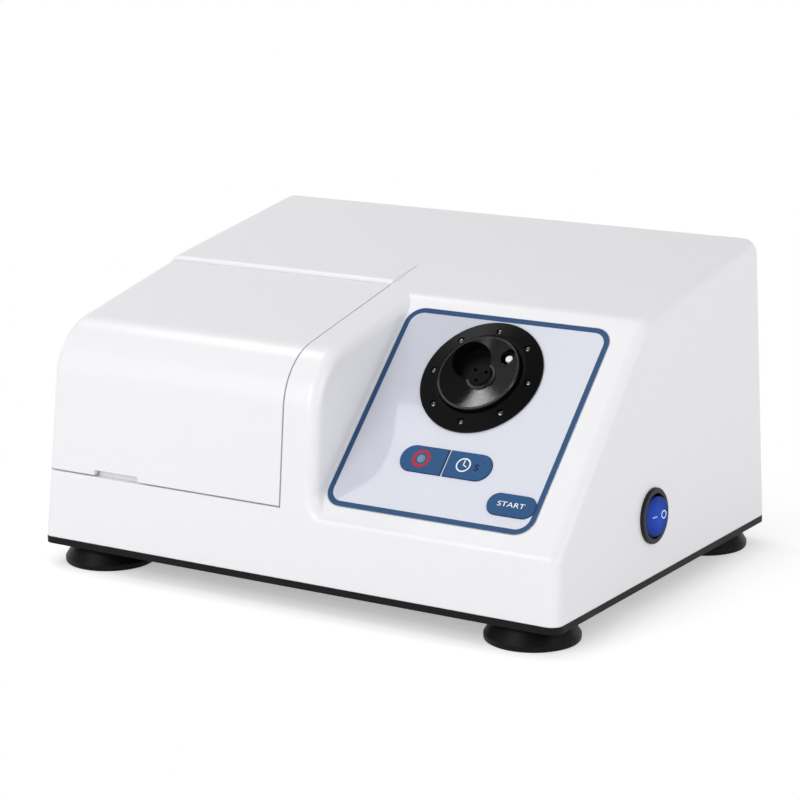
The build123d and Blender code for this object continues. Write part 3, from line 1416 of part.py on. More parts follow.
spring_low = -yoke_half - jaw_spring_drop
save("mixing_arm", arm_place * make_arm())
save("fixed_jaw", arm_place * make_fixed_jaw())
save("jaw_screws", group(arm_place * jaw_screw(x) for x in jaw_screw_xs))
save("moving_jaw", arm_place * make_moving_jaw())
pin_place = arm_place * Pos(hinge_x, hinge_y, 0)
head_low = yoke_half + fit_clearance
jaw_pin = rod(pin_radius, spring_low - pin_tail, head_low + jaw_pin_head_height / 2)
jaw_pin = jaw_pin + rod(jaw_pin_head, head_low, head_low + jaw_pin_head_height)
jaw_spring = ring(jaw_spring_radius, pin_radius + side_gap, spring_low, -yoke_half - side_gap)
save("jaw_pin", pin_place * jaw_pin)
save("jaw_spring", pin_place * jaw_spring)

# Restraint spring between the bracket's tongue and the arm's beam
spring_top_z = shaft_z - yoke_half / cos(radians(journal_skew)) - spring_head_gap


def make_restraint_spring():
    low = spring_seat_z + wire_radius + spring_end_gap
    high = spring_top_z - wire_radius
    pitch = (high - low) / coil_turns
    path = Helix(pitch=pitch, height=high - low, radius=coil_radius)
    section = Plane(origin=path @ 0, z_dir=path % 0) * Circle(wire_radius)
    coil = sweep(section, path=path, is_frenet=True)
    return Pos(spring_x, spring_y, low) * coil


save("restraint_spring", make_restraint_spring())

# ---------------------------------------------------------------- electronics
board_z = shell_z + boss_height + 0.5
board_face = board_z + board_thickness
board_start = Pos(board_screw_xs[0], board_screw_ys[0], board_face)


def on_board(place, size):
    """Block that stands on the control board, by its middle and size."""
    return board_start * Pos(place[0], place[1], size[2] / 2) * Box(*size)


def can_capacitor(place, size):
    body = rod(size[0], 0, size[1])
    return board_start * Pos(*place, 0) * fillet(body.edges(), capacitor_rounding)


def heat_sink():
    """Base with upright fins."""
    body = on_board(heat_sink_place, heat_sink_size)
    count = int(heat_sink_size[1] // fin_pitch)
    first = heat_sink_place[1] - (count - 1) * fin_pitch / 2
    middle_z = heat_sink_size[2] + fin_height / 2
    for i in range(count):
        fin = Box(heat_sink_size[0], fin_thickness, fin_height)
        body = body + board_start * Pos(heat_sink_place[0], first + i * fin_pitch, middle_z) * fin
    return body


def make_control_board():
    xs = (board_screw_xs[0] - control_board_margin, board_screw_xs[1] + control_board_margin)
    ys = (board_screw_ys[0] - control_board_margin, board_screw_ys[1] + control_board_margin)
    plate = block(*xs, *ys, board_z, board_face)
    hole = rod(screw_radius + screw_clearance, 0, FAR)
    return plate - [Pos(x, y, 0) * hole for x, y in board_screw_spots]


def board_standoff(x, y):
    return Pos(x, y, 0) * ring(standoff_radius, screw_radius + press_gap, shell_z, board_z)


limb = transformer_size[0] / 6                 # outer limb, window and half of the middle limb
core_top = shell_z + transformer_size[2]


def make_transformer_core():
    """Laminated core with two windows."""
    x, y = transformer_place
    core = Pos(x, y, (shell_z + core_top) / 2) * Box(*transformer_size)
    for side in (-1, 1):
        middle = x + side * 1.5 * limb
        core = core - block(middle - limb / 2, middle + limb / 2, -FAR, FAR, shell_z + limb, core_top - limb)
    return core


def make_transformer_coil():
    """Coil on the middle limb, through both windows."""
    x, y = transformer_place
    low = shell_z + limb + coil_gap
    high = core_top - limb - coil_gap
    half = 2 * limb - coil_gap
    coil = block(x - half, x + half, y - coil_depth / 2, y + coil_depth / 2, low, high)
    coil = fillet(coil.edges().filter_by(Axis.Z), coil_rounding)
    half = limb / 2 + limb / 2 + coil_fit / 2
    half_y = transformer_size[1] / 2 + coil_fit
    return coil - block(x - half, x + half, y - half_y, y + half_y, low - 1, high + 1)


board_parts = [
    on_board(relay_place, relay_size),
    can_capacitor(capacitor_place, capacitor_size),
    can_capacitor(small_capacitor_place, small_capacitor_size),
    heat_sink(),
    on_board(terminals_place, terminals_size),
]
save("control_board", make_control_board())
save("board_standoffs", group(board_standoff(x, y) for x, y in board_screw_spots))
save("board_parts", group(board_parts))
save("transformer_core", make_transformer_core())
save("transformer_coil", make_transformer_coil())
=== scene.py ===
# %% [markdown]
# # A dental amalgamator
# A bench mixer for dental capsules: a glossy white case with a hinged chamber lid, a sloping
# control panel with a turned black dial, and a mixing arm that a small motor swings inside.
# The solid model arrives as a fixed frame, with every piece already in its place. Blender
# adds what a solid model lacks: finishes, printed marks, small domed parts and light.

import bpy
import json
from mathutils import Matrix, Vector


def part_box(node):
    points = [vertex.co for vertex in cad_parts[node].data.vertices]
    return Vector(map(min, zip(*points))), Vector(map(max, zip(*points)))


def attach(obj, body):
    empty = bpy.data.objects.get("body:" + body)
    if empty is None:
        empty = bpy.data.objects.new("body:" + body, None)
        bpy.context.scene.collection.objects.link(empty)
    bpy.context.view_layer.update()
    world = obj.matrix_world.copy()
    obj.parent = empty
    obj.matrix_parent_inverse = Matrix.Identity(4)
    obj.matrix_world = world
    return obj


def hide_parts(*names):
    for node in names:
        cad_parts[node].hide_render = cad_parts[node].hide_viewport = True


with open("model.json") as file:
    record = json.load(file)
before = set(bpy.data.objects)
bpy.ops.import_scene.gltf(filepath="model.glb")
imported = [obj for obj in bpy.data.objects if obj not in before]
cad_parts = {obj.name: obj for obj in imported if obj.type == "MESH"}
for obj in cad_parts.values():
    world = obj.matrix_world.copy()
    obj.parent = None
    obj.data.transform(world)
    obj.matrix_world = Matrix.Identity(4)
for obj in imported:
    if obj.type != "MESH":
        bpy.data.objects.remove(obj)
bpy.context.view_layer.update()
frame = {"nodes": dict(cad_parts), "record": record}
print("CAD pieces:", len(frame["nodes"]))


# %% [markdown]
# ## Libraries and units
# The frame is in metres, as Blender is, while a small machine is drawn in millimetres, so one
# constant turns one into the other. The Standard view shows a colour about as it is written.

# %% Libraries and units
import json
import math

import bmesh
import bpy
from mathutils import Matrix, Vector
from mathutils.bvhtree import BVHTree

MM = 0.001
nodes = frame["nodes"]
scene = bpy.context.scene
scene.view_settings.view_transform = "Standard"
print("lengths are in metres, and", MM, "is a millimetre")


# %% [markdown]
# ## Camera
# A product shot uses a long lens, so that parallel edges stay nearly parallel. The camera is
# placed by two angles round a point inside the case, then slid a few millimetres sideways and
# turned a fraction of a degree, because no camera stands perfectly level.

# %% Camera
look_at = Vector((0, 0, 60 * MM))
camera_azimuth = math.radians(31.948)
camera_elevation = math.radians(13.311)
camera_roll = math.radians(-0.23)
camera_distance = 1.1532
camera_slide = (-3.64 * MM, 7.26 * MM)
camera_lens, camera_sensor = 121.0, 36.0


def make_camera():
    """Aim a long lens at the case, make it the scene's camera and return its place."""
    flat = math.cos(camera_elevation)
    back = Vector(
        (math.sin(camera_azimuth) * flat, -math.cos(camera_azimuth) * flat, math.sin(camera_elevation))
    )
    level = Vector((math.cos(camera_azimuth), math.sin(camera_azimuth), 0))
    upright = back.cross(level)
    right = level * math.cos(camera_roll) + upright * math.sin(camera_roll)
    up = back.cross(right)
    place = look_at + back * camera_distance + right * camera_slide[0] + up * camera_slide[1]
    data = bpy.data.cameras.new("camera")
    data.lens = camera_lens
    data.sensor_width = camera_sensor
    camera = bpy.data.objects.new("camera", data)
    axes = Matrix((right, up, back)).transposed()
    camera.matrix_world = Matrix.Translation(place) @ axes.to_4x4()
    scene.collection.objects.link(camera)
    scene.camera = camera
    return place


camera_place = make_camera()
print("camera at", [round(c, 3) for c in camera_place])


# %% [markdown]
# ## Light
# Glossy white plastic shows its form only through soft changes of grey. Large square lamps
# give those: one in front and above for the sloping panel, a weaker one at the right for the
# side wall, and a small one overhead that the turned dial mirrors as a bright fan. The world
# fills in the rest, brighter near the horizon than overhead, so that black gloss stays black.
# Two more lamps come later, once the panel's own axes are known.

# %% Lamps
def softbox(name, place, aim, size, power):
    """Square area lamp at a place, turned towards a point."""
    data = bpy.data.lights.new(name, "AREA")
    data.shape = "SQUARE"
    data.size = size
    data.energy = power
    lamp = bpy.data.objects.new(name, data)
    lamp.location = place
    lamp.rotation_euler = (Vector(place) - Vector(aim)).to_track_quat("Z", "Y").to_euler()
    scene.collection.objects.link(lamp)


case_middle = (0, 0, 70 * MM)
near_dial = (60 * MM, -40 * MM, 90 * MM)
softbox("front_softbox", place=(-0.45, -1.75, 0.9), aim=case_middle, size=1.1, power=14.3)
softbox("right_softbox", place=(1.75, -0.25, 0.6), aim=case_middle, size=1.1, power=8.2)
softbox("overhead_softbox", place=(-0.65, 0.17, 1.03), aim=near_dial, size=0.23, power=1.35)


# %% [markdown]
# ## Node helpers
# Every finish is a small network of shader nodes, so a few helpers keep the networks readable.
# One adds any node and sets it up. The others add the kinds that come back again and again: a
# sum, a mix, a noise, and the piece's own coordinates, which stay fixed to the piece when it
# moves.

# %% Node helpers
def add(tree, kind, inputs=(), **settings):
    """Add a node, set its properties, then set or link its inputs."""
    node = tree.nodes.new(kind)
    for key, value in settings.items():
        setattr(node, key, value)
    for key, value in dict(inputs).items():
        socket = node.inputs[key]
        if isinstance(value, bpy.types.NodeSocket):
            tree.links.new(value, socket)
        else:
            socket.default_value = value
    return node


def maths(tree, operation, a, b=0.0):
    """One maths node on two values or sockets."""
    return add(tree, "ShaderNodeMath", {0: a, 1: b}, operation=operation).outputs[0]


def vector_maths(tree, operation, a, b=(0, 0, 0), result="Vector"):
    """One maths node on two vectors; result names the output that is wanted."""
    return add(tree, "ShaderNodeVectorMath", {0: a, 1: b}, operation=operation).outputs[result]


def mixed_value(tree, factor, a, b):
    """Number between two values: a where the factor is 0, b where it is 1."""
    return add(tree, "ShaderNodeMix", {0: factor, 2: a, 3: b}).outputs[0]


def mixed_colour(tree, factor, a, b):
    """Colour between two colours with alpha: a where the factor is 0, b where it is 1."""
    return add(tree, "ShaderNodeMix", {0: factor, 6: a, 7: b}, data_type="RGBA").outputs[2]


def own_coordinates(tree, shift=(0, 0, 0), turn=(0, 0, 0), stretch=(1, 1, 1)):
    """The piece's own coordinates in metres, moved, turned and stretched."""
    source = add(tree, "ShaderNodeTexCoord").outputs["Object"]
    inputs = {"Vector": source, "Location": shift, "Rotation": turn, "Scale": stretch}
    return add(tree, "ShaderNodeMapping", inputs).outputs[0]


def noise(tree, scale, detail=2.0, vector=None):
    """Noise with features about 1/scale metres wide."""
    inputs = {"Vector": vector or own_coordinates(tree), "Scale": scale, "Detail": detail}
    return add(tree, "ShaderNodeTexNoise", inputs).outputs["Fac"]


print("node helpers ready")


# %% [markdown]
# ## Backdrop
# The case stands on white. Close to the case the floor is lit, so that it keeps the soft
# contact shadow. Further out it fades into plain white for the camera and for mirror rays,
# and so does the world, while the light that it throws back on the case stays natural. Light
# Path tells the kinds of ray apart.

# %% World
fill_strength = 0.58
zenith_strength = 0.1
white_below, dark_above = 0.1, 0.75  # heights in the sky, as sines of the elevation
plain_white = (1, 1, 1, 1)


def ray_kinds(tree):
    """Two masks: camera rays alone, and camera, mirrored and passing rays together."""
    path = add(tree, "ShaderNodeLightPath")
    camera = path.outputs["Is Camera Ray"]
    indirect = maths(tree, "MAXIMUM", path.outputs["Is Glossy Ray"], path.outputs["Is Transmission Ray"])
    return camera, maths(tree, "MAXIMUM", camera, indirect)


def make_world():
    """White round the horizon, darker overhead, and an even fill for diffuse light."""
    world = bpy.data.worlds.new("studio")
    world.use_nodes = True
    tree = world.node_tree
    tree.nodes.clear()
    camera, seen = ray_kinds(tree)
    direction = add(tree, "ShaderNodeTexCoord").outputs["Generated"]
    height = add(tree, "ShaderNodeSeparateXYZ", {0: direction}).outputs["Z"]
    heights = {"Value": height, "From Min": white_below, "From Max": dark_above}
    strengths = {"To Min": 1.0, "To Max": zenith_strength}
    gradient = add(tree, "ShaderNodeMapRange", heights | strengths).outputs[0]
    shown = mixed_value(tree, camera, gradient, 1.0)
    strength = mixed_value(tree, seen, fill_strength, shown)
    background = add(tree, "ShaderNodeBackground", {"Color": plain_white, "Strength": strength})
    output = add(tree, "ShaderNodeOutputWorld")
    tree.links.new(background.outputs[0], output.inputs["Surface"])
    scene.world = world


make_world()
print("world fill", fill_strength)


# %% Floor
floor_half = 8.0
footprint_half = (0.115, 0.085, 1.0)
fade_end = 0.14
floor_bounce = (0.80, 0.80, 0.80, 1)
floor_shown = (1.35, 1.35, 1.35, 1)
shadow_depth = 0.6


def make_floor_white():
    """Lit white near the footprint of the case, plain white further out."""
    material = bpy.data.materials.new("floor_white")
    material.use_nodes = True
    tree = material.node_tree
    tree.nodes.clear()
    camera, seen = ray_kinds(tree)
    colour = mixed_colour(tree, camera, floor_bounce, floor_shown)
    lit = add(tree, "ShaderNodeBsdfDiffuse", {"Color": colour}).outputs[0]
    plain = add(tree, "ShaderNodeEmission", {"Color": plain_white, "Strength": 1.0}).outputs[0]
    folded = vector_maths(tree, "ABSOLUTE", own_coordinates(tree))
    past = vector_maths(tree, "SUBTRACT", folded, footprint_half)
    outside = vector_maths(tree, "MAXIMUM", past)
    away = vector_maths(tree, "LENGTH", outside, result="Value")
    inputs = {"Value": away, "From Min": 0.0, "From Max": fade_end, "To Min": 1 - shadow_depth}
    fade = add(tree, "ShaderNodeMapRange", inputs).outputs[0]
    mix = add(tree, "ShaderNodeMixShader", {0: maths(tree, "MULTIPLY", fade, seen), 1: lit, 2: plain})
    output = add(tree, "ShaderNodeOutputMaterial")
    tree.links.new(mix.outputs[0], output.inputs["Surface"])
    return material


def make_floor():
    """Large square floor under the feet."""
    mesh = bpy.data.meshes.new("floor")
    corners = [(x * floor_half, y * floor_half, 0) for x, y in ((-1, -1), (1, -1), (1, 1), (-1, 1))]
    mesh.from_pydata(corners, [], [(0, 1, 2, 3)])
    mesh.materials.append(make_floor_white())
    floor = bpy.data.objects.new("floor", mesh)
    scene.collection.objects.link(floor)


make_floor()
print("floor is plain white from", fade_end, "m outside the footprint")


# %% [markdown]
# ## Finishes
# A moulded or machined surface is never one flat colour. One function makes the base of each
# finish: a Principled shader whose colour is faintly mottled, whose roughness wanders a
# little, whose normal carries a fine grain, and whose sharp CAD edges are rounded by a Bevel
# node, because real edges always catch a thin line of light. Each finish then adds its own.

# %% Base finish
finishes = {}
mottle_scale, wander_scale = 35.0, 60.0
noise_low, noise_high = 0.2, 0.8
smoothest = 0.02
grain_depth = 0.1
bevel_samples = 4


def finish(name, colour, roughness, metallic=0.0, grain=(900.0, 0.02), mottle=0.03, edge=0.25, wander=0.06):
    """Principled material with mottled colour, wandering roughness, grain and rounded edges.

    grain is (scale, strength); edge is the edge rounding in millimetres.
    """
    material = bpy.data.materials.new(name)
    finishes[name] = material
    material.use_nodes = True
    tree = material.node_tree
    shader = tree.nodes["Principled BSDF"]
    shader.inputs["Metallic"].default_value = metallic
    dark = tuple(c * (1 - mottle) for c in colour) + (1,)
    light = tuple(min(c * (1 + mottle), 1.0) for c in colour) + (1,)
    mottled = mixed_colour(tree, noise(tree, mottle_scale, 3.0), dark, light)
    tree.links.new(mottled, shader.inputs["Base Color"])
    patches = {"Value": noise(tree, wander_scale), "From Min": noise_low, "From Max": noise_high}
    limits = {"To Min": max(roughness - wander, smoothest), "To Max": roughness + wander}
    rough = add(tree, "ShaderNodeMapRange", patches | limits)
    tree.links.new(rough.outputs[0], shader.inputs["Roughness"])
    rounded = add(tree, "ShaderNodeBevel", {"Radius": edge * MM}, samples=bevel_samples).outputs[0]
    scale, strength = grain
    inputs = {"Height": noise(tree, scale), "Strength": strength, "Distance": grain_depth * MM}
    bump = add(tree, "ShaderNodeBump", inputs | {"Normal": rounded})
    tree.links.new(bump.outputs[0], shader.inputs["Normal"])
    return material


def set_shader(material, **values):
    """Set values on the shader's own sockets; an underscore stands for a space."""
    shader = material.node_tree.nodes["Principled BSDF"]
    for key, value in values.items():
        shader.inputs[key.replace("_", " ")].default_value = value


print("base finish ready")


# %% [markdown]
# ### Layers over the base finish
# Some finishes need a second relief or a second colour. A bump node takes the normal of the
# one before it, so any number can be stacked, and a mix node takes the colour of the one
# before it in the same way. Worn edges come from two normals: where the rounded one leaves
# the flat one, there is an edge.

# %% Stacked bumps, tints and edges
edge_starts, edge_full = 0.995, 0.9


def feed(material, name):
    """The material's tree, a socket of its shader, and what feeds that socket so far."""
    socket = material.node_tree.nodes["Principled BSDF"].inputs[name]
    return material.node_tree, socket, socket.links[0].from_socket


def stack_bump(material, height, strength, distance):
    """Lay one more bump over the material's grain; distance is in millimetres."""
    tree, socket, under = feed(material, "Normal")
    inputs = {"Height": height, "Strength": strength, "Distance": distance * MM, "Normal": under}
    tree.links.new(add(tree, "ShaderNodeBump", inputs).outputs[0], socket)


def tint(material, mask, colour, amount=1.0):
    """Blend another colour in where the mask is white."""
    tree, socket, under = feed(material, "Base Color")
    factor = maths(tree, "MULTIPLY", mask, amount)
    tree.links.new(mixed_colour(tree, factor, under, (*colour, 1)), socket)


def edge_mask(tree, radius):
    """White along sharp edges, for a rounding in millimetres."""
    rounded = add(tree, "ShaderNodeBevel", {"Radius": radius * MM}, samples=bevel_samples).outputs[0]
    flat = add(tree, "ShaderNodeNewGeometry").outputs["Normal"]
    same = vector_maths(tree, "DOT_PRODUCT", rounded, flat, result="Value")
    inputs = {"Value": same, "From Min": edge_starts, "From Max": edge_full}
    return add(tree, "ShaderNodeMapRange", inputs).outputs[0]


print("layer helpers ready")


# %% [markdown]
# ### Case plastics
# The case is injection moulded in glossy white. Under soft light its skin is not a perfect
# mirror: it has a slow waviness from the mould's polish, so a half rough shader lies under a
# thin, smoother coat. The base and the feet are black; the base is a finely eroded satin
# plastic, the feet are rubber with a dusty, pebbled skin.

# %% Case plastics
shell_white = finish(
    "shell_white", (0.86, 0.86, 0.885), 0.36, grain=(1400.0, 0.004), mottle=0.004, edge=0.6, wander=0.015
)
set_shader(shell_white, Coat_Weight=0.3, Coat_Roughness=0.26)
base_black = finish("base_black", (0.006, 0.0063, 0.007), 0.45, grain=(2600.0, 0.15), mottle=0.2)
foot_rubber = finish("foot_rubber", (0.004, 0.004, 0.0045), 0.42, grain=(1500.0, 0.2), mottle=0.3, edge=0.5)
switch_black = finish("switch_black", (0.02, 0.02, 0.022), 0.38, grain=(2200.0, 0.18), mottle=0.15)
for dull in (base_black, foot_rubber, switch_black):
    set_shader(dull, Specular_IOR_Level=0.14)
finish("tray_grey", (0.20, 0.205, 0.215), 0.48, grain=(1600.0, 0.25), mottle=0.05)
finish("fan_plastic", (0.05, 0.05, 0.055), 0.45, grain=(1800.0, 0.2), mottle=0.1)
print("plastics:", list(finishes))


# %% [markdown]
# ### Metals
# Rolled steel shows long fine lines along the rolling, ground steel is nearly a mirror, cast
# aluminium has a sandy skin, and the motor's can is painted. The lines could be a picture laid
# on the sheet, but noise that is stretched a hundredfold one way needs no unwrapping and never
# repeats.

# %% Metals
lines_across, lines_along = 2500.0, 25.0
line_depth = 0.03
worn_edge, worn_gain, worn_amount = 0.4, 1.25, 0.5


def brushed(name, colour, roughness, along):
    """Metal with fine lines; along is the axis number that they follow."""
    material = finish(name, colour, roughness, metallic=1.0, grain=(700.0, 0.05), mottle=0.06)
    tree = material.node_tree
    stretch = [lines_across] * 3
    stretch[along] = lines_along
    lines = noise(tree, 1.0, 3.0, own_coordinates(tree, stretch=stretch))
    stack_bump(material, lines, 0.25, line_depth)
    brighter = [min(1.0, c * worn_gain) for c in colour]
    tint(material, edge_mask(tree, worn_edge), brighter, worn_amount)


brushed("zinc_steel", (0.60, 0.61, 0.63), 0.36, along=0)
brushed("spring_steel", (0.58, 0.585, 0.60), 0.26, along=1)
finish("bright_steel", (0.74, 0.745, 0.755), 0.14, metallic=1.0, grain=(900.0, 0.02), mottle=0.03)
finish("cast_aluminium", (0.66, 0.67, 0.68), 0.46, metallic=1.0, grain=(1300.0, 0.6), mottle=0.08)
finish("brass_parts", (0.76, 0.58, 0.28), 0.24, metallic=1.0, grain=(1500.0, 0.05), mottle=0.08)
finish("motor_paint", (0.035, 0.038, 0.043), 0.36, grain=(700.0, 0.4), mottle=0.1)
print("finishes so far:", len(finishes))


# %% [markdown]
# ### Laminations, windings and circuit boards
# A motor's core is a stack of thin steel sheets, and its coils are rows of lacquered wire. Both
# are stripes, so a wave texture gives the relief and darkens the gaps. A circuit board is
# green solder mask with tracks and pads: the edges of one cell pattern make the tracks, and
# the middles of a finer one make the pads.

# %% Laminations and windings
stripe_gap = 0.25


def wave_scale(period):
    """Scale at which a Wave texture repeats every period; its phase is 20 times the place."""
    return math.tau / 20 / (period * MM)


def striped(name, colour, dark, roughness, period, axis, strength=0.6):
    """Metal in thin layers or turns, period in millimetres, stacked along an axis."""
    material = finish(name, colour, roughness, metallic=1.0, mottle=0.08)
    tree = material.node_tree
    inputs = {"Vector": own_coordinates(tree), "Scale": wave_scale(period)}
    wave = add(tree, "ShaderNodeTexWave", inputs, wave_type="BANDS", bands_direction=axis).outputs["Fac"]
    stack_bump(material, wave, strength, period / 2)
    tint(material, maths(tree, "LESS_THAN", wave, stripe_gap), dark, 0.6)


striped("core_steel", (0.23, 0.235, 0.25), (0.05, 0.05, 0.055), 0.42, period=0.7, axis="X", strength=0.35)
striped("copper_wire", (0.60, 0.25, 0.10), (0.16, 0.05, 0.02), 0.28, period=0.6, axis="Z")
print("stripes need a scale of", round(wave_scale(0.7)), "and", round(wave_scale(0.6)))


# %% Circuit board
track_scale, track_width, track_green = 160.0, 0.06, (0.05, 0.26, 0.10)
pad_scale, pad_radius, pad_tin = 260.0, 0.17, (0.62, 0.60, 0.55)


def make_board():
    """Green solder mask with fine tracks and a scatter of bright pads."""
    material = finish("circuit_board", (0.02, 0.13, 0.055), 0.30, grain=(900.0, 0.05), mottle=0.15)
    tree = material.node_tree
    place = own_coordinates(tree)
    cells = {"Vector": place, "Scale": track_scale, "Randomness": 0.8}
    border = add(tree, "ShaderNodeTexVoronoi", cells, feature="DISTANCE_TO_EDGE").outputs["Distance"]
    tint(material, maths(tree, "LESS_THAN", border, track_width), track_green, 0.8)
    cells = {"Vector": place, "Scale": pad_scale, "Randomness": 0.3}
    middle = add(tree, "ShaderNodeTexVoronoi", cells).outputs["Distance"]
    tint(material, maths(tree, "LESS_THAN", middle, pad_radius), pad_tin)


make_board()
print("finishes so far:", len(finishes))


# %% [markdown]
# ## The panel's own axes
# Everything on the sloping panel is easiest to place in the panel's own axes: x to the right,
# y up the slope, z out of it. Their origin is the middle of the printed film, and their slope
# is read from the film's largest face.

# %% Panel axes
film_low, film_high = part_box("panel_label")
film_face = max(nodes["panel_label"].data.polygons, key=lambda face: face.area)
panel_tilt = math.atan2(abs(film_face.normal.y), abs(film_face.normal.z))
panel_axes = Matrix.Translation((film_low + film_high) / 2) @ Matrix.Rotation(panel_tilt, 4, "X")


def panel_extent(node):
    """Lowest and highest corner of a CAD piece in the panel's axes."""
    back = panel_axes.inverted()
    points = [back @ v.co for v in nodes[node].data.vertices]
    low = Vector(min(p[i] for p in points) for i in range(3))
    high = Vector(max(p[i] for p in points) for i in range(3))
    return low, high


film_min, film_max = panel_extent("panel_label")
film_size = film_max - film_min
bezel_min, bezel_max = panel_extent("timer_bezel")
dial_centre = (bezel_min + bezel_max) / 2
dial_axes = panel_axes @ Matrix.Translation((dial_centre.x, dial_centre.y, film_max.z))
print("panel slopes", round(math.degrees(panel_tilt), 2), "degrees")
print("film size", [round(c / MM, 2) for c in film_size])
print("dial centre", [round(c / MM, 2) for c in dial_centre])


# %% [markdown]
# ### Two lamps that the film mirrors
# The printed film is glossy, so part of it mirrors a bright card and part does not. A card
# that is parallel to the panel keeps its rectangle in the mirror image. Seen from the camera's
# image behind the panel, every point of the card lies in line with one point of the film, so
# the card's edges can be given in the film's own millimetres. The low card covers the lower
# half of the film with the keys; the high card covers the upper right, beside the dial.

# %% Lamps mirrored in the film
card_height = 0.6
card_radiance = 1.9
card_reach = 75.0
low_card_top = 2.0
high_card_left = 6.0


def mirrored_card(name, low, high):
    """Area lamp over the panel that covers a rectangle of the film in its mirror image."""
    eye = panel_axes.inverted() @ camera_place
    grow = (card_height + eye.z) / eye.z
    corners = [[eye[i] + (corner[i] * MM - eye[i]) * grow for i in (0, 1)] for corner in (low, high)]
    width, height = (corners[1][i] - corners[0][i] for i in (0, 1))
    middle = [(corners[0][i] + corners[1][i]) / 2 for i in (0, 1)]
    data = bpy.data.lights.new(name, "AREA")
    data.shape = "RECTANGLE"
    data.size, data.size_y = width, height
    data.energy = card_radiance * math.pi * width * height
    lamp = bpy.data.objects.new(name, data)
    lamp.matrix_world = panel_axes @ Matrix.Translation((*middle, card_height))
    scene.collection.objects.link(lamp)


mirrored_card("low_card", (-card_reach, -card_reach), (card_reach, low_card_top))
mirrored_card("high_card", (high_card_left, low_card_top), (card_reach, card_reach))
print("cards", card_height, "m over the panel")


# %% [markdown]
# ## Turned black dial
# The bezel and the knob are turned from bar and finished black. A lathe leaves rings round
# the axis, too fine to see, and they smear every reflection into a fan that points at the
# centre. A ring pattern about the dial's own axis gives that fan in any light. The knob is
# polished. Outside its rim the bezel is dull, and so are the finger recess and the hub, so
# the distance from the axis and from the recess sets the gloss.

# %% Dial finish
ring_period, ring_depth = 0.16, 0.01
finger_offset, finger_radius, hub_radius = (-6.1, 6.0), 8.3, 4.9
dull_roughness = 0.34
knob_specular, dull_specular = 0.62, 0.10
_, knob_max = panel_extent("timer_knob")
knob_radius = knob_max.x - dial_centre.x


def make_dial_black():
    """Black gloss with fine turning rings about the dial's axis."""
    material = finish("dial_black", (0.003, 0.003, 0.0033), 0.13, grain=(1500.0, 0.01), mottle=0.2, edge=0.2)
    tree, roughness, polished = feed(material, "Roughness")
    inverse = dial_axes.inverted()
    local = own_coordinates(tree, shift=inverse.to_translation(), turn=inverse.to_euler())
    flat = vector_maths(tree, "MULTIPLY", local, (1, 1, 0))
    away = vector_maths(tree, "LENGTH", flat, result="Value")
    recess_centre = (finger_offset[0] * MM, finger_offset[1] * MM, 0)
    beside = vector_maths(tree, "DISTANCE", flat, recess_centre, result="Value")
    on_bezel = maths(tree, "GREATER_THAN", away, knob_radius)
    in_recess = maths(tree, "LESS_THAN", beside, finger_radius * MM)
    on_hub = maths(tree, "LESS_THAN", away, hub_radius * MM)
    dull = maths(tree, "MAXIMUM", on_bezel, maths(tree, "MAXIMUM", in_recess, on_hub))
    tree.links.new(mixed_value(tree, dull, polished, dull_roughness), roughness)
    specular = tree.nodes["Principled BSDF"].inputs["Specular IOR Level"]
    tree.links.new(mixed_value(tree, dull, knob_specular, dull_specular), specular)
    inputs = {"Vector": local, "Scale": wave_scale(ring_period), "Distortion": 0.4, "Detail": 1.0}
    rings = add(tree, "ShaderNodeTexWave", inputs, wave_type="RINGS", rings_direction="Z").outputs["Fac"]
    stack_bump(material, rings, 0.3, ring_depth)


make_dial_black()
print("dial rings every", ring_period, "mm, knob radius", round(knob_radius / MM, 2), "mm")


# %% [markdown]
# ## Printed film, keys and inks
# The label is a polyester film printed on its back, so its colours lie under a clear gloss: a
# full coat over a nearly smooth shader. The keys are satin blue plastic. They and the inks
# keep a low specular level, so that their colours stay deep under the big lamps; the white
# ink is bright in any case.

# %% Film, key and ink finishes
label_film = finish(
    "label_film", (0.60, 0.615, 0.70), 0.12, grain=(1700.0, 0.005), mottle=0.006, edge=0.1, wander=0.01
)
set_shader(label_film, Coat_Weight=1.0, Coat_Roughness=0.03)
key_blue = finish(
    "key_blue", (0.030, 0.096, 0.23), 0.28, grain=(2000.0, 0.05), mottle=0.04, edge=0.15, wander=0.02
)
frame_ink = finish(
    "frame_ink", (0.036, 0.090, 0.20), 0.2, grain=(1700.0, 0.02), mottle=0.03, edge=0.02, wander=0.02
)
white_ink = finish("white_ink", (0.92, 0.93, 0.95), 0.3, grain=(1700.0, 0.05), mottle=0.02, edge=0.02)
red_ink = finish("red_ink", (0.42, 0.035, 0.055), 0.3, grain=(1700.0, 0.05), mottle=0.05, edge=0.02)
# Pale blue-grey of the stop lamp's dome: a painted reflection.
lens_painted_glare = finish("lens_painted_glare", (0.17, 0.26, 0.36), 0.2, grain=(1700.0, 0.05), mottle=0.25, edge=0.2)
dark_ink = finish("dark_ink", (0.008, 0.012, 0.03), 0.3, grain=(1700.0, 0.05), mottle=0.05, edge=0.02)
for deep in (key_blue, frame_ink, red_ink, dark_ink, lens_painted_glare):
    set_shader(deep, Specular_IOR_Level=0.1)
finish("pointer_white", (0.96, 0.96, 0.96), 0.2, mottle=0.02, edge=0.3)
print("film and inks ready")


# %% [markdown]
# ## Blue rocker
# The rocker is clear blue plastic over a dark body: light enters it and comes out again in the
# middle, and at the rim it meets the dark bezel. A real clear plastic would need many light
# bounces, so both are painted into its colour: a painted glow in the middle, and painted shade that darkens
# the blue with the distance from the rocker's middle.

# %% Rocker finish
rocker_low, rocker_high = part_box("power_rocker")
rocker_middle = (rocker_low + rocker_high) / 2
# Painted shade on the rocker: it starts at the first radius and is full at the second.
painted_shade_start, painted_shade_end = 3 * MM, 8.4 * MM
painted_rim_shade_blue, painted_rim_shade_amount = (0.0, 0.012, 0.16), 0.85


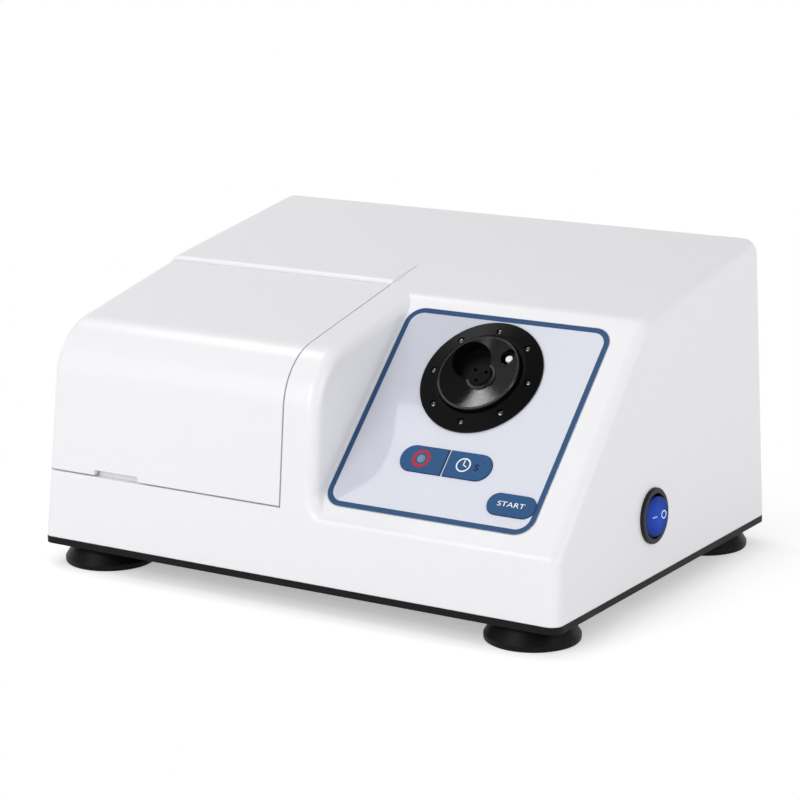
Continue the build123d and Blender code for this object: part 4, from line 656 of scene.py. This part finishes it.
def make_rocker_blue():
    """Clear blue plastic: painted glow in the middle, where light comes back out, and painted shade at the
    rim.
    """
    material = finish(
        "rocker_blue", (0.005, 0.065, 0.52), 0.14, grain=(1200.0, 0.01), mottle=0.1, edge=0.6, wander=0.02
    )
    set_shader(material, Specular_IOR_Level=0.13)
    tree = material.node_tree
    offset = vector_maths(tree, "SUBTRACT", own_coordinates(tree), rocker_middle)
    flat = vector_maths(tree, "MULTIPLY", offset, (0, 1, 1))
    away = vector_maths(tree, "LENGTH", flat, result="Value")
    # Painted shade: the blue darkens from the rocker's middle towards its rim.
    inputs = {"Value": away, "From Min": painted_shade_start, "From Max": painted_shade_end}
    rim = add(tree, "ShaderNodeMapRange", inputs).outputs[0]
    tint(material, rim, painted_rim_shade_blue, painted_rim_shade_amount)


make_rocker_blue()
print("rocker glows round", [round(c / MM, 1) for c in rocker_middle])


# %% [markdown]
# ## Dress the CAD pieces
# The record names a material slot for every CAD piece. A table from slot to finish dresses
# them all in one loop. Their meshes are left exactly as they arrive.

# %% Assign the finishes
for row in frame["record"]["subparts"]:
    slots = nodes[row["node"]].data.materials
    slots.clear()
    slots.append(finishes[row["material_slot"]])


# %% [markdown]
# ## Printed marks
# A printed line is a film of ink a few hundredths of a millimetre thick. Making each mark as
# thin geometry keeps its edge sharp at any distance, where a painted texture would blur.
# A band is the area between two matching outlines; a plate is the inside of one.

# %% Outlines
def rounded_rectangle(width, height, radius, steps=12):
    """Outline of a rounded rectangle round the origin."""
    points = []
    for corner, (sx, sy) in enumerate(((1, 1), (-1, 1), (-1, -1), (1, -1))):
        for i in range(steps + 1):
            angle = math.pi / 2 * (corner + i / steps)
            x = sx * (width / 2 - radius) + radius * math.cos(angle)
            y = sy * (height / 2 - radius) + radius * math.sin(angle)
            points.append((x, y))
    return points


def circle(radius, steps=48):
    """Outline of a circle round the origin."""
    angles = [math.tau * i / steps for i in range(steps)]
    return [(radius * math.cos(a), radius * math.sin(a)) for a in angles]


print("a circle has", len(circle(1.0)), "points")


# %% Thin prints
ink_thickness = 0.04 * MM
ink_sink = 0.02 * MM


def ride_in_place(name, mesh, place, body):
    """Object of a mesh, with its place written into the mesh, riding on a body."""
    mesh.transform(place)
    piece = bpy.data.objects.new(name, mesh)
    scene.collection.objects.link(piece)
    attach(piece, body)
    return piece


def new_piece(name, build, place, material, body):
    """Piece from a function that builds its shape in a bmesh."""
    bm = bmesh.new()
    build(bm)
    bmesh.ops.recalc_face_normals(bm, faces=bm.faces)
    mesh = bpy.data.meshes.new(name)
    bm.to_mesh(mesh)
    bm.free()
    mesh.materials.append(material)
    ride_in_place(name, mesh, place, body)


def thicken(bm):
    """Give the flat faces so far the ink's thickness along z."""
    grown = bmesh.ops.extrude_face_region(bm, geom=list(bm.faces))
    tops = [v for v in grown["geom"] if isinstance(v, bmesh.types.BMVert)]
    bmesh.ops.translate(bm, verts=tops, vec=(0, 0, ink_thickness))


def band(outer, inner):
    """Builder for the area between two outlines with as many points each."""
    def build(bm):
        rims = [[bm.verts.new((x, y, 0)) for x, y in outline] for outline in (outer, inner)]
        count = len(outer)
        for i in range(count):
            j = (i + 1) % count
            bm.faces.new((rims[0][i], rims[0][j], rims[1][j], rims[1][i]))
        thicken(bm)
    return build


def plate(outline):
    """Builder for the inside of one outline."""
    def build(bm):
        bm.faces.new([bm.verts.new((x, y, 0)) for x, y in outline])
        thicken(bm)
    return build


def on_panel(x, y, z, turn=0.0):
    """Place for a print: sunk a little into a face at height z of the panel's axes."""
    return panel_axes @ Matrix.Translation((x, y, z - ink_sink)) @ Matrix.Rotation(turn, 4, "Z")


print("prints are", round(ink_thickness / MM, 3), "mm thick")


# %% [markdown]
# ### Blue frame of the label
# A blue line runs round the film just inside its edge. It is the band between two rounded
# rectangles. The inner corners are tighter by the line's own width, so that it stays equally
# wide all the way round.

# %% Blue frame of the label
frame_width = 2.4 * MM
frame_radius = 8.0 * MM
frame_inset = 0.05 * MM
outer_frame = rounded_rectangle(film_size.x - 2 * frame_inset, film_size.y - 2 * frame_inset, frame_radius)
inner_size = (film_size.x - 2 * frame_width, film_size.y - 2 * frame_width)
inner_frame = rounded_rectangle(*inner_size, frame_radius - frame_width)
new_piece("label_frame", band(outer_frame, inner_frame), on_panel(0, 0, film_max.z), frame_ink, "case")
print("label frame", round((frame_width - frame_inset) / MM, 2), "mm wide")


# %% [markdown]
# ### Marks on the keys
# The stop key carries a red ring, and the time key carries a small clock face. Each mark rides
# on its own key, so it sinks with the key when that is pressed.

# %% Marks on the keys
stop_min, stop_max = panel_extent("stop_key")
time_min, time_max = panel_extent("time_key")
stop_mark = (stop_min + stop_max) / 2
clock_shift = -3.0 * MM
clock_mark = (time_min + time_max) / 2 + Vector((clock_shift, 0, 0))
stop_outer, stop_inner = 4.1 * MM, 2.7 * MM
clock_outer, clock_inner = 3.2 * MM, 2.65 * MM
hand_width, long_hand, short_hand, short_turn = 0.45 * MM, 2.4 * MM, 1.7 * MM, -2.0


def hand(length):
    """Outline of a clock hand that starts at the origin and points up."""
    half = hand_width / 2
    return [(-half, -half), (half, -half), (half, length), (-half, length)]


new_piece(
    "stop_ring", band(circle(stop_outer), circle(stop_inner)),
    on_panel(stop_mark.x, stop_mark.y, stop_max.z), red_ink, "stop_button",
)
new_piece(
    "time_ring", band(circle(clock_outer), circle(clock_inner)),
    on_panel(clock_mark.x, clock_mark.y, time_max.z), white_ink, "time_button",
)
for name, length, turn in (("time_hand_long", long_hand, 0.0), ("time_hand_short", short_hand, short_turn)):
    place = on_panel(clock_mark.x, clock_mark.y, time_max.z, turn)
    new_piece(name, plate(hand(length)), place, white_ink, "time_button")
print("key marks at", [round(c / MM, 1) for c in stop_mark], [round(c / MM, 1) for c in clock_mark])


# %% [markdown]
# ### Lens of the stop lamp
# In the middle of the red ring sits a small clear dome over a lamp, and its pale blue-grey colour is a
# painted reflection. A dome is the cap of a
# flattened sphere: rings of points that shrink as they rise, joined ring to ring and closed at
# both ends.

# %% Lens of the stop lamp
lens_radius, lens_rise = 1.9 * MM, 0.45 * MM
lens_steps, lens_points = 5, 32


def lens(bm):
    """Shallow dome on a flat base, built of rings."""
    rims = []
    for k in range(lens_steps):
        angle = math.pi / 2 * k / lens_steps
        ring = circle(lens_radius * math.cos(angle), lens_points)
        rims.append([bm.verts.new((x, y, lens_rise * math.sin(angle))) for x, y in ring])
    for low, high in zip(rims, rims[1:]):
        for i in range(lens_points):
            j = (i + 1) % lens_points
            bm.faces.new((low[i], low[j], high[j], high[i]))
    bm.faces.new(rims[-1])
    bm.faces.new(rims[0])


new_piece("stop_lens", lens, on_panel(stop_mark.x, stop_mark.y, stop_max.z), lens_painted_glare, "stop_button")
print("lens", round(2 * lens_radius / MM, 1), "mm across")


# %% [markdown]
# ### Letters
# A text object draws its letters from an outline font, and its extrusion gives the ink's
# thickness. It has to become a mesh before its place is applied, so a helper bakes it: it asks
# Blender for the mesh that the finished object would show. The letters of the start key are
# drawn wider than the font gives them, as key legends often are.

# %% Baked meshes
def bake(made):
    """Plain mesh of an object with its modifiers; the object goes."""
    scene.collection.objects.link(made)
    bpy.context.view_layer.update()
    mesh = bpy.data.meshes.new_from_object(made.evaluated_get(bpy.context.evaluated_depsgraph_get()))
    bpy.data.objects.remove(made)
    return mesh


print("baking ready")


# %% Letters
letter_steps = 6
start_min, start_max = panel_extent("start_key")
start_mark = (start_min + start_max) / 2
start_height, start_widen = 3.1 * MM, 1.35
second_height, second_shift = 6.5 * MM, (6.1 * MM, 0.2 * MM)


def letters(name, text, height, place, material, body, widen=1.0):
    """Flat lettering as a mesh, centred on its place and drawn wider where asked."""
    curve = bpy.data.curves.new(name, "FONT")
    curve.body = text
    curve.size = height
    curve.align_x = "CENTER"
    curve.align_y = "CENTER"
    curve.extrude = ink_thickness / 2
    curve.resolution_u = letter_steps
    mesh = bake(bpy.data.objects.new(name + "_text", curve))
    mesh.materials.clear()
    mesh.materials.append(material)
    raised = Matrix.Translation((0, 0, ink_thickness / 2)) @ Matrix.Diagonal((widen, 1, 1, 1))
    ride_in_place(name, mesh, place @ raised, body)


letters(
    "start_letters", "START", start_height, on_panel(start_mark.x, start_mark.y, start_max.z),
    white_ink, "start_button", widen=start_widen,
)
letters(
    "time_letter", "s", second_height,
    on_panel(clock_mark.x + second_shift[0], clock_mark.y + second_shift[1], time_max.z),
    dark_ink, "time_button",
)
print("start letters", round(start_height / MM, 1), "mm, widened", start_widen, "times")


# %% [markdown]
# ## Marks on the rocker
# The rocker's two halves slope away from its ridge, so a flat print would float over them.
# Each point of a mark is dropped on the rocker's own surface instead, which is what a pad
# printer's soft stamp does. A ring marks off and a dash marks on.

# %% Rocker marks
far_right = 1.0
off_radius, off_stroke, off_shift = 1.75 * MM, 0.45 * MM, 4.3 * MM
on_length, on_stroke, on_shift = 2.6 * MM, 0.5 * MM, -1.9 * MM
dash_border = 0.15 * MM


def draped(name, outer, inner, shift):
    """Band between two outlines in the y-z plane, dropped along -x on the rocker."""
    data = nodes["power_rocker"].data
    tree = BVHTree.FromPolygons([v.co for v in data.vertices], [p.vertices for p in data.polygons])

    def build(bm):
        band(outer, inner)(bm)
        for v in bm.verts:
            start = Vector((far_right, rocker_middle.y + shift + v.co.x, rocker_middle.z + v.co.y))
            hit = tree.ray_cast(start, Vector((-1, 0, 0)))[0]
            v.co = Vector((hit.x + v.co.z - ink_sink, start.y, start.z))

    new_piece(name, build, Matrix.Identity(4), white_ink, "rocker")


draped("off_mark", circle(off_radius), circle(off_radius - off_stroke), off_shift)
dash = rounded_rectangle(on_length, on_stroke, 0.1 * MM, 3)
core = rounded_rectangle(on_length - 2 * dash_border, on_stroke - 2 * dash_border, 0.05 * MM, 3)
draped("on_mark", dash, core, on_shift)
print("rocker marks either side of y =", round(rocker_middle.y / MM, 1))


# %% [markdown]
# ## Screws round the dial
# The bezel's screws are all alike, which is work for Geometry Nodes. One screw is modelled: a
# low dome with a slot. Its profile is spun round the axis, and the slot is a box, longer than
# the head is wide, that a Boolean modifier takes away. Doubled points at the axis are merged
# before the normals are made to point outwards.

# %% One slotted screw
dome_steps, spin_steps = 8, 36
rim_share = 0.4
merge_distance = 0.0005 * MM
smooth_below = math.radians(35)


def cut(solid, tool):
    """Mesh of a solid less a tool."""
    cutter = bpy.data.objects.new("cutter", tool)
    made = bpy.data.objects.new("cut_solid", solid)
    modifier = made.modifiers.new("cut", "BOOLEAN")
    modifier.operation = "DIFFERENCE"
    modifier.solver = "EXACT"
    modifier.object = cutter
    mesh = bake(made)
    bpy.data.objects.remove(cutter)
    mesh.shade_smooth()
    mesh.set_sharp_from_angle(angle=smooth_below)
    return mesh


def slotted_screw(radius, height, slot_width, slot_depth, shank_radius, shank_length):
    """Mesh of a screw whose head stands on z = 0."""
    rim = rim_share * height
    arc = [math.pi / 2 * i / dome_steps for i in range(dome_steps + 1)]
    profile = [(radius * math.sin(a), rim + (height - rim) * math.cos(a)) for a in arc]
    profile += [(radius, 0), (shank_radius, 0), (shank_radius, -shank_length), (0, -shank_length)]
    bm = bmesh.new()
    verts = [bm.verts.new((x, 0, z)) for x, z in profile]
    edges = [bm.edges.new(pair) for pair in zip(verts, verts[1:])]
    full_turn = {"axis": (0, 0, 1), "cent": (0, 0, 0), "angle": math.tau, "steps": spin_steps}
    bmesh.ops.spin(bm, geom=verts + edges, **full_turn)
    bmesh.ops.remove_doubles(bm, verts=bm.verts, dist=merge_distance)
    bmesh.ops.recalc_face_normals(bm, faces=bm.faces)
    solid = bpy.data.meshes.new("screw_solid")
    bm.to_mesh(solid)
    bm.clear()
    bmesh.ops.create_cube(bm, size=1.0)
    size = Matrix.Diagonal((4 * radius, slot_width, 2 * slot_depth, 1))
    bmesh.ops.transform(bm, matrix=Matrix.Translation((0, 0, height)) @ size, verts=bm.verts)
    slot = bpy.data.meshes.new("screw_slot")
    bm.to_mesh(slot)
    bm.free()
    return cut(solid, slot)


print("screw helpers ready")


# %% [markdown]
# ### A ring of copies
# A node group copies any master mesh round a circle, faces each copy outwards and gives it a
# twist of its own, because nobody lines up slots. Its inputs are named, its random seed is
# fixed, and it ends by realising the copies and setting their material. A modifier's inputs
# are set by the sockets' identifiers. The result is baked to a plain mesh.

# %% Ring of copies
ring_inputs = (
    ("Master", "Geometry"), ("Count", "Int"), ("Circle Radius", "Float"),
    ("Twist", "Float"), ("Seed", "Int"), ("Finish", "Material"),
)


def ring_group():
    """Node group: copies of a master round a circle, facing outwards plus a random twist."""
    group = bpy.data.node_groups.new("ring_of_copies", "GeometryNodeTree")
    for name, kind in ring_inputs:
        group.interface.new_socket(name, in_out="INPUT", socket_type="NodeSocket" + kind)
    group.interface.new_socket("Ring", in_out="OUTPUT", socket_type="NodeSocketGeometry")
    given = add(group, "NodeGroupInput").outputs
    inputs = {"Vertices": given["Count"], "Radius": given["Circle Radius"]}
    spots = add(group, "GeometryNodeMeshCircle", inputs).outputs[0]
    index = add(group, "GeometryNodeInputIndex").outputs[0]
    facing = maths(group, "DIVIDE", maths(group, "MULTIPLY", index, math.tau), given["Count"])
    random = add(group, "FunctionNodeRandomValue", {2: 0.0, 3: given["Twist"], 8: given["Seed"]})
    turn = add(group, "ShaderNodeCombineXYZ", {"Z": maths(group, "ADD", facing, random.outputs[1])})
    inputs = {"Points": spots, "Instance": given["Master"], "Rotation": turn.outputs[0]}
    copies = add(group, "GeometryNodeInstanceOnPoints", inputs).outputs[0]
    plain = add(group, "GeometryNodeRealizeInstances", {"Geometry": copies}).outputs[0]
    dressed = add(group, "GeometryNodeSetMaterial", {"Geometry": plain, "Material": given["Finish"]})
    output = add(group, "NodeGroupOutput")
    group.links.new(dressed.outputs[0], output.inputs["Ring"])
    return group


ring_of_copies = ring_group()


def ring_of(name, master, place, body, values):
    """Baked ring of a master mesh; values are the node group's inputs by name."""
    made = bpy.data.objects.new(name + "_ring", master)
    modifier = made.modifiers.new("ring", "NODES")
    modifier.node_group = ring_of_copies
    for item in ring_of_copies.interface.items_tree:
        if item.name in values:
            modifier[item.identifier] = values[item.name]
    return ride_in_place(name, bake(made), place, body)


print("node group inputs:", [i.name for i in ring_of_copies.interface.items_tree])


# %% [markdown]
# ### Bezel screws
# Eight small steel screws hold the bezel. Their circle, their seat and the length of their
# shanks are read from the plain CAD screws, which the finished ring then stands for.

# %% Bezel screws
screw_steel = finish("screw_steel", (0.30, 0.30, 0.31), 0.2, metallic=1.0, grain=(1500.0, 0.05), mottle=0.15)
screw_low, screw_high = panel_extent("bezel_screws")
screw_count, twist_seed = 8, 4
screw_height, screw_radius, shank_radius = 0.8 * MM, 1.25 * MM, 0.7 * MM
slot_width, slot_depth = 0.36 * MM, 0.3 * MM
screw_seat = screw_high.z - screw_height
screw_circle = (screw_high.x - screw_low.x) / 2 - screw_radius
bezel_screw = slotted_screw(
    screw_radius, screw_height, slot_width, slot_depth, shank_radius, screw_seat - screw_low.z
)
screw_ring = ring_of(
    "bezel_screw_ring", bezel_screw,
    panel_axes @ Matrix.Translation((dial_centre.x, dial_centre.y, screw_seat)), "case",
    {
        "Count": screw_count, "Circle Radius": screw_circle,
        "Twist": math.pi, "Seed": twist_seed, "Finish": screw_steel,
    },
)
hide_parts("bezel_screws")
print(screw_count, "bezel screws on a circle of", round(screw_circle / MM, 2), "mm")
print("faces of their ring:", len(screw_ring.data.polygons))
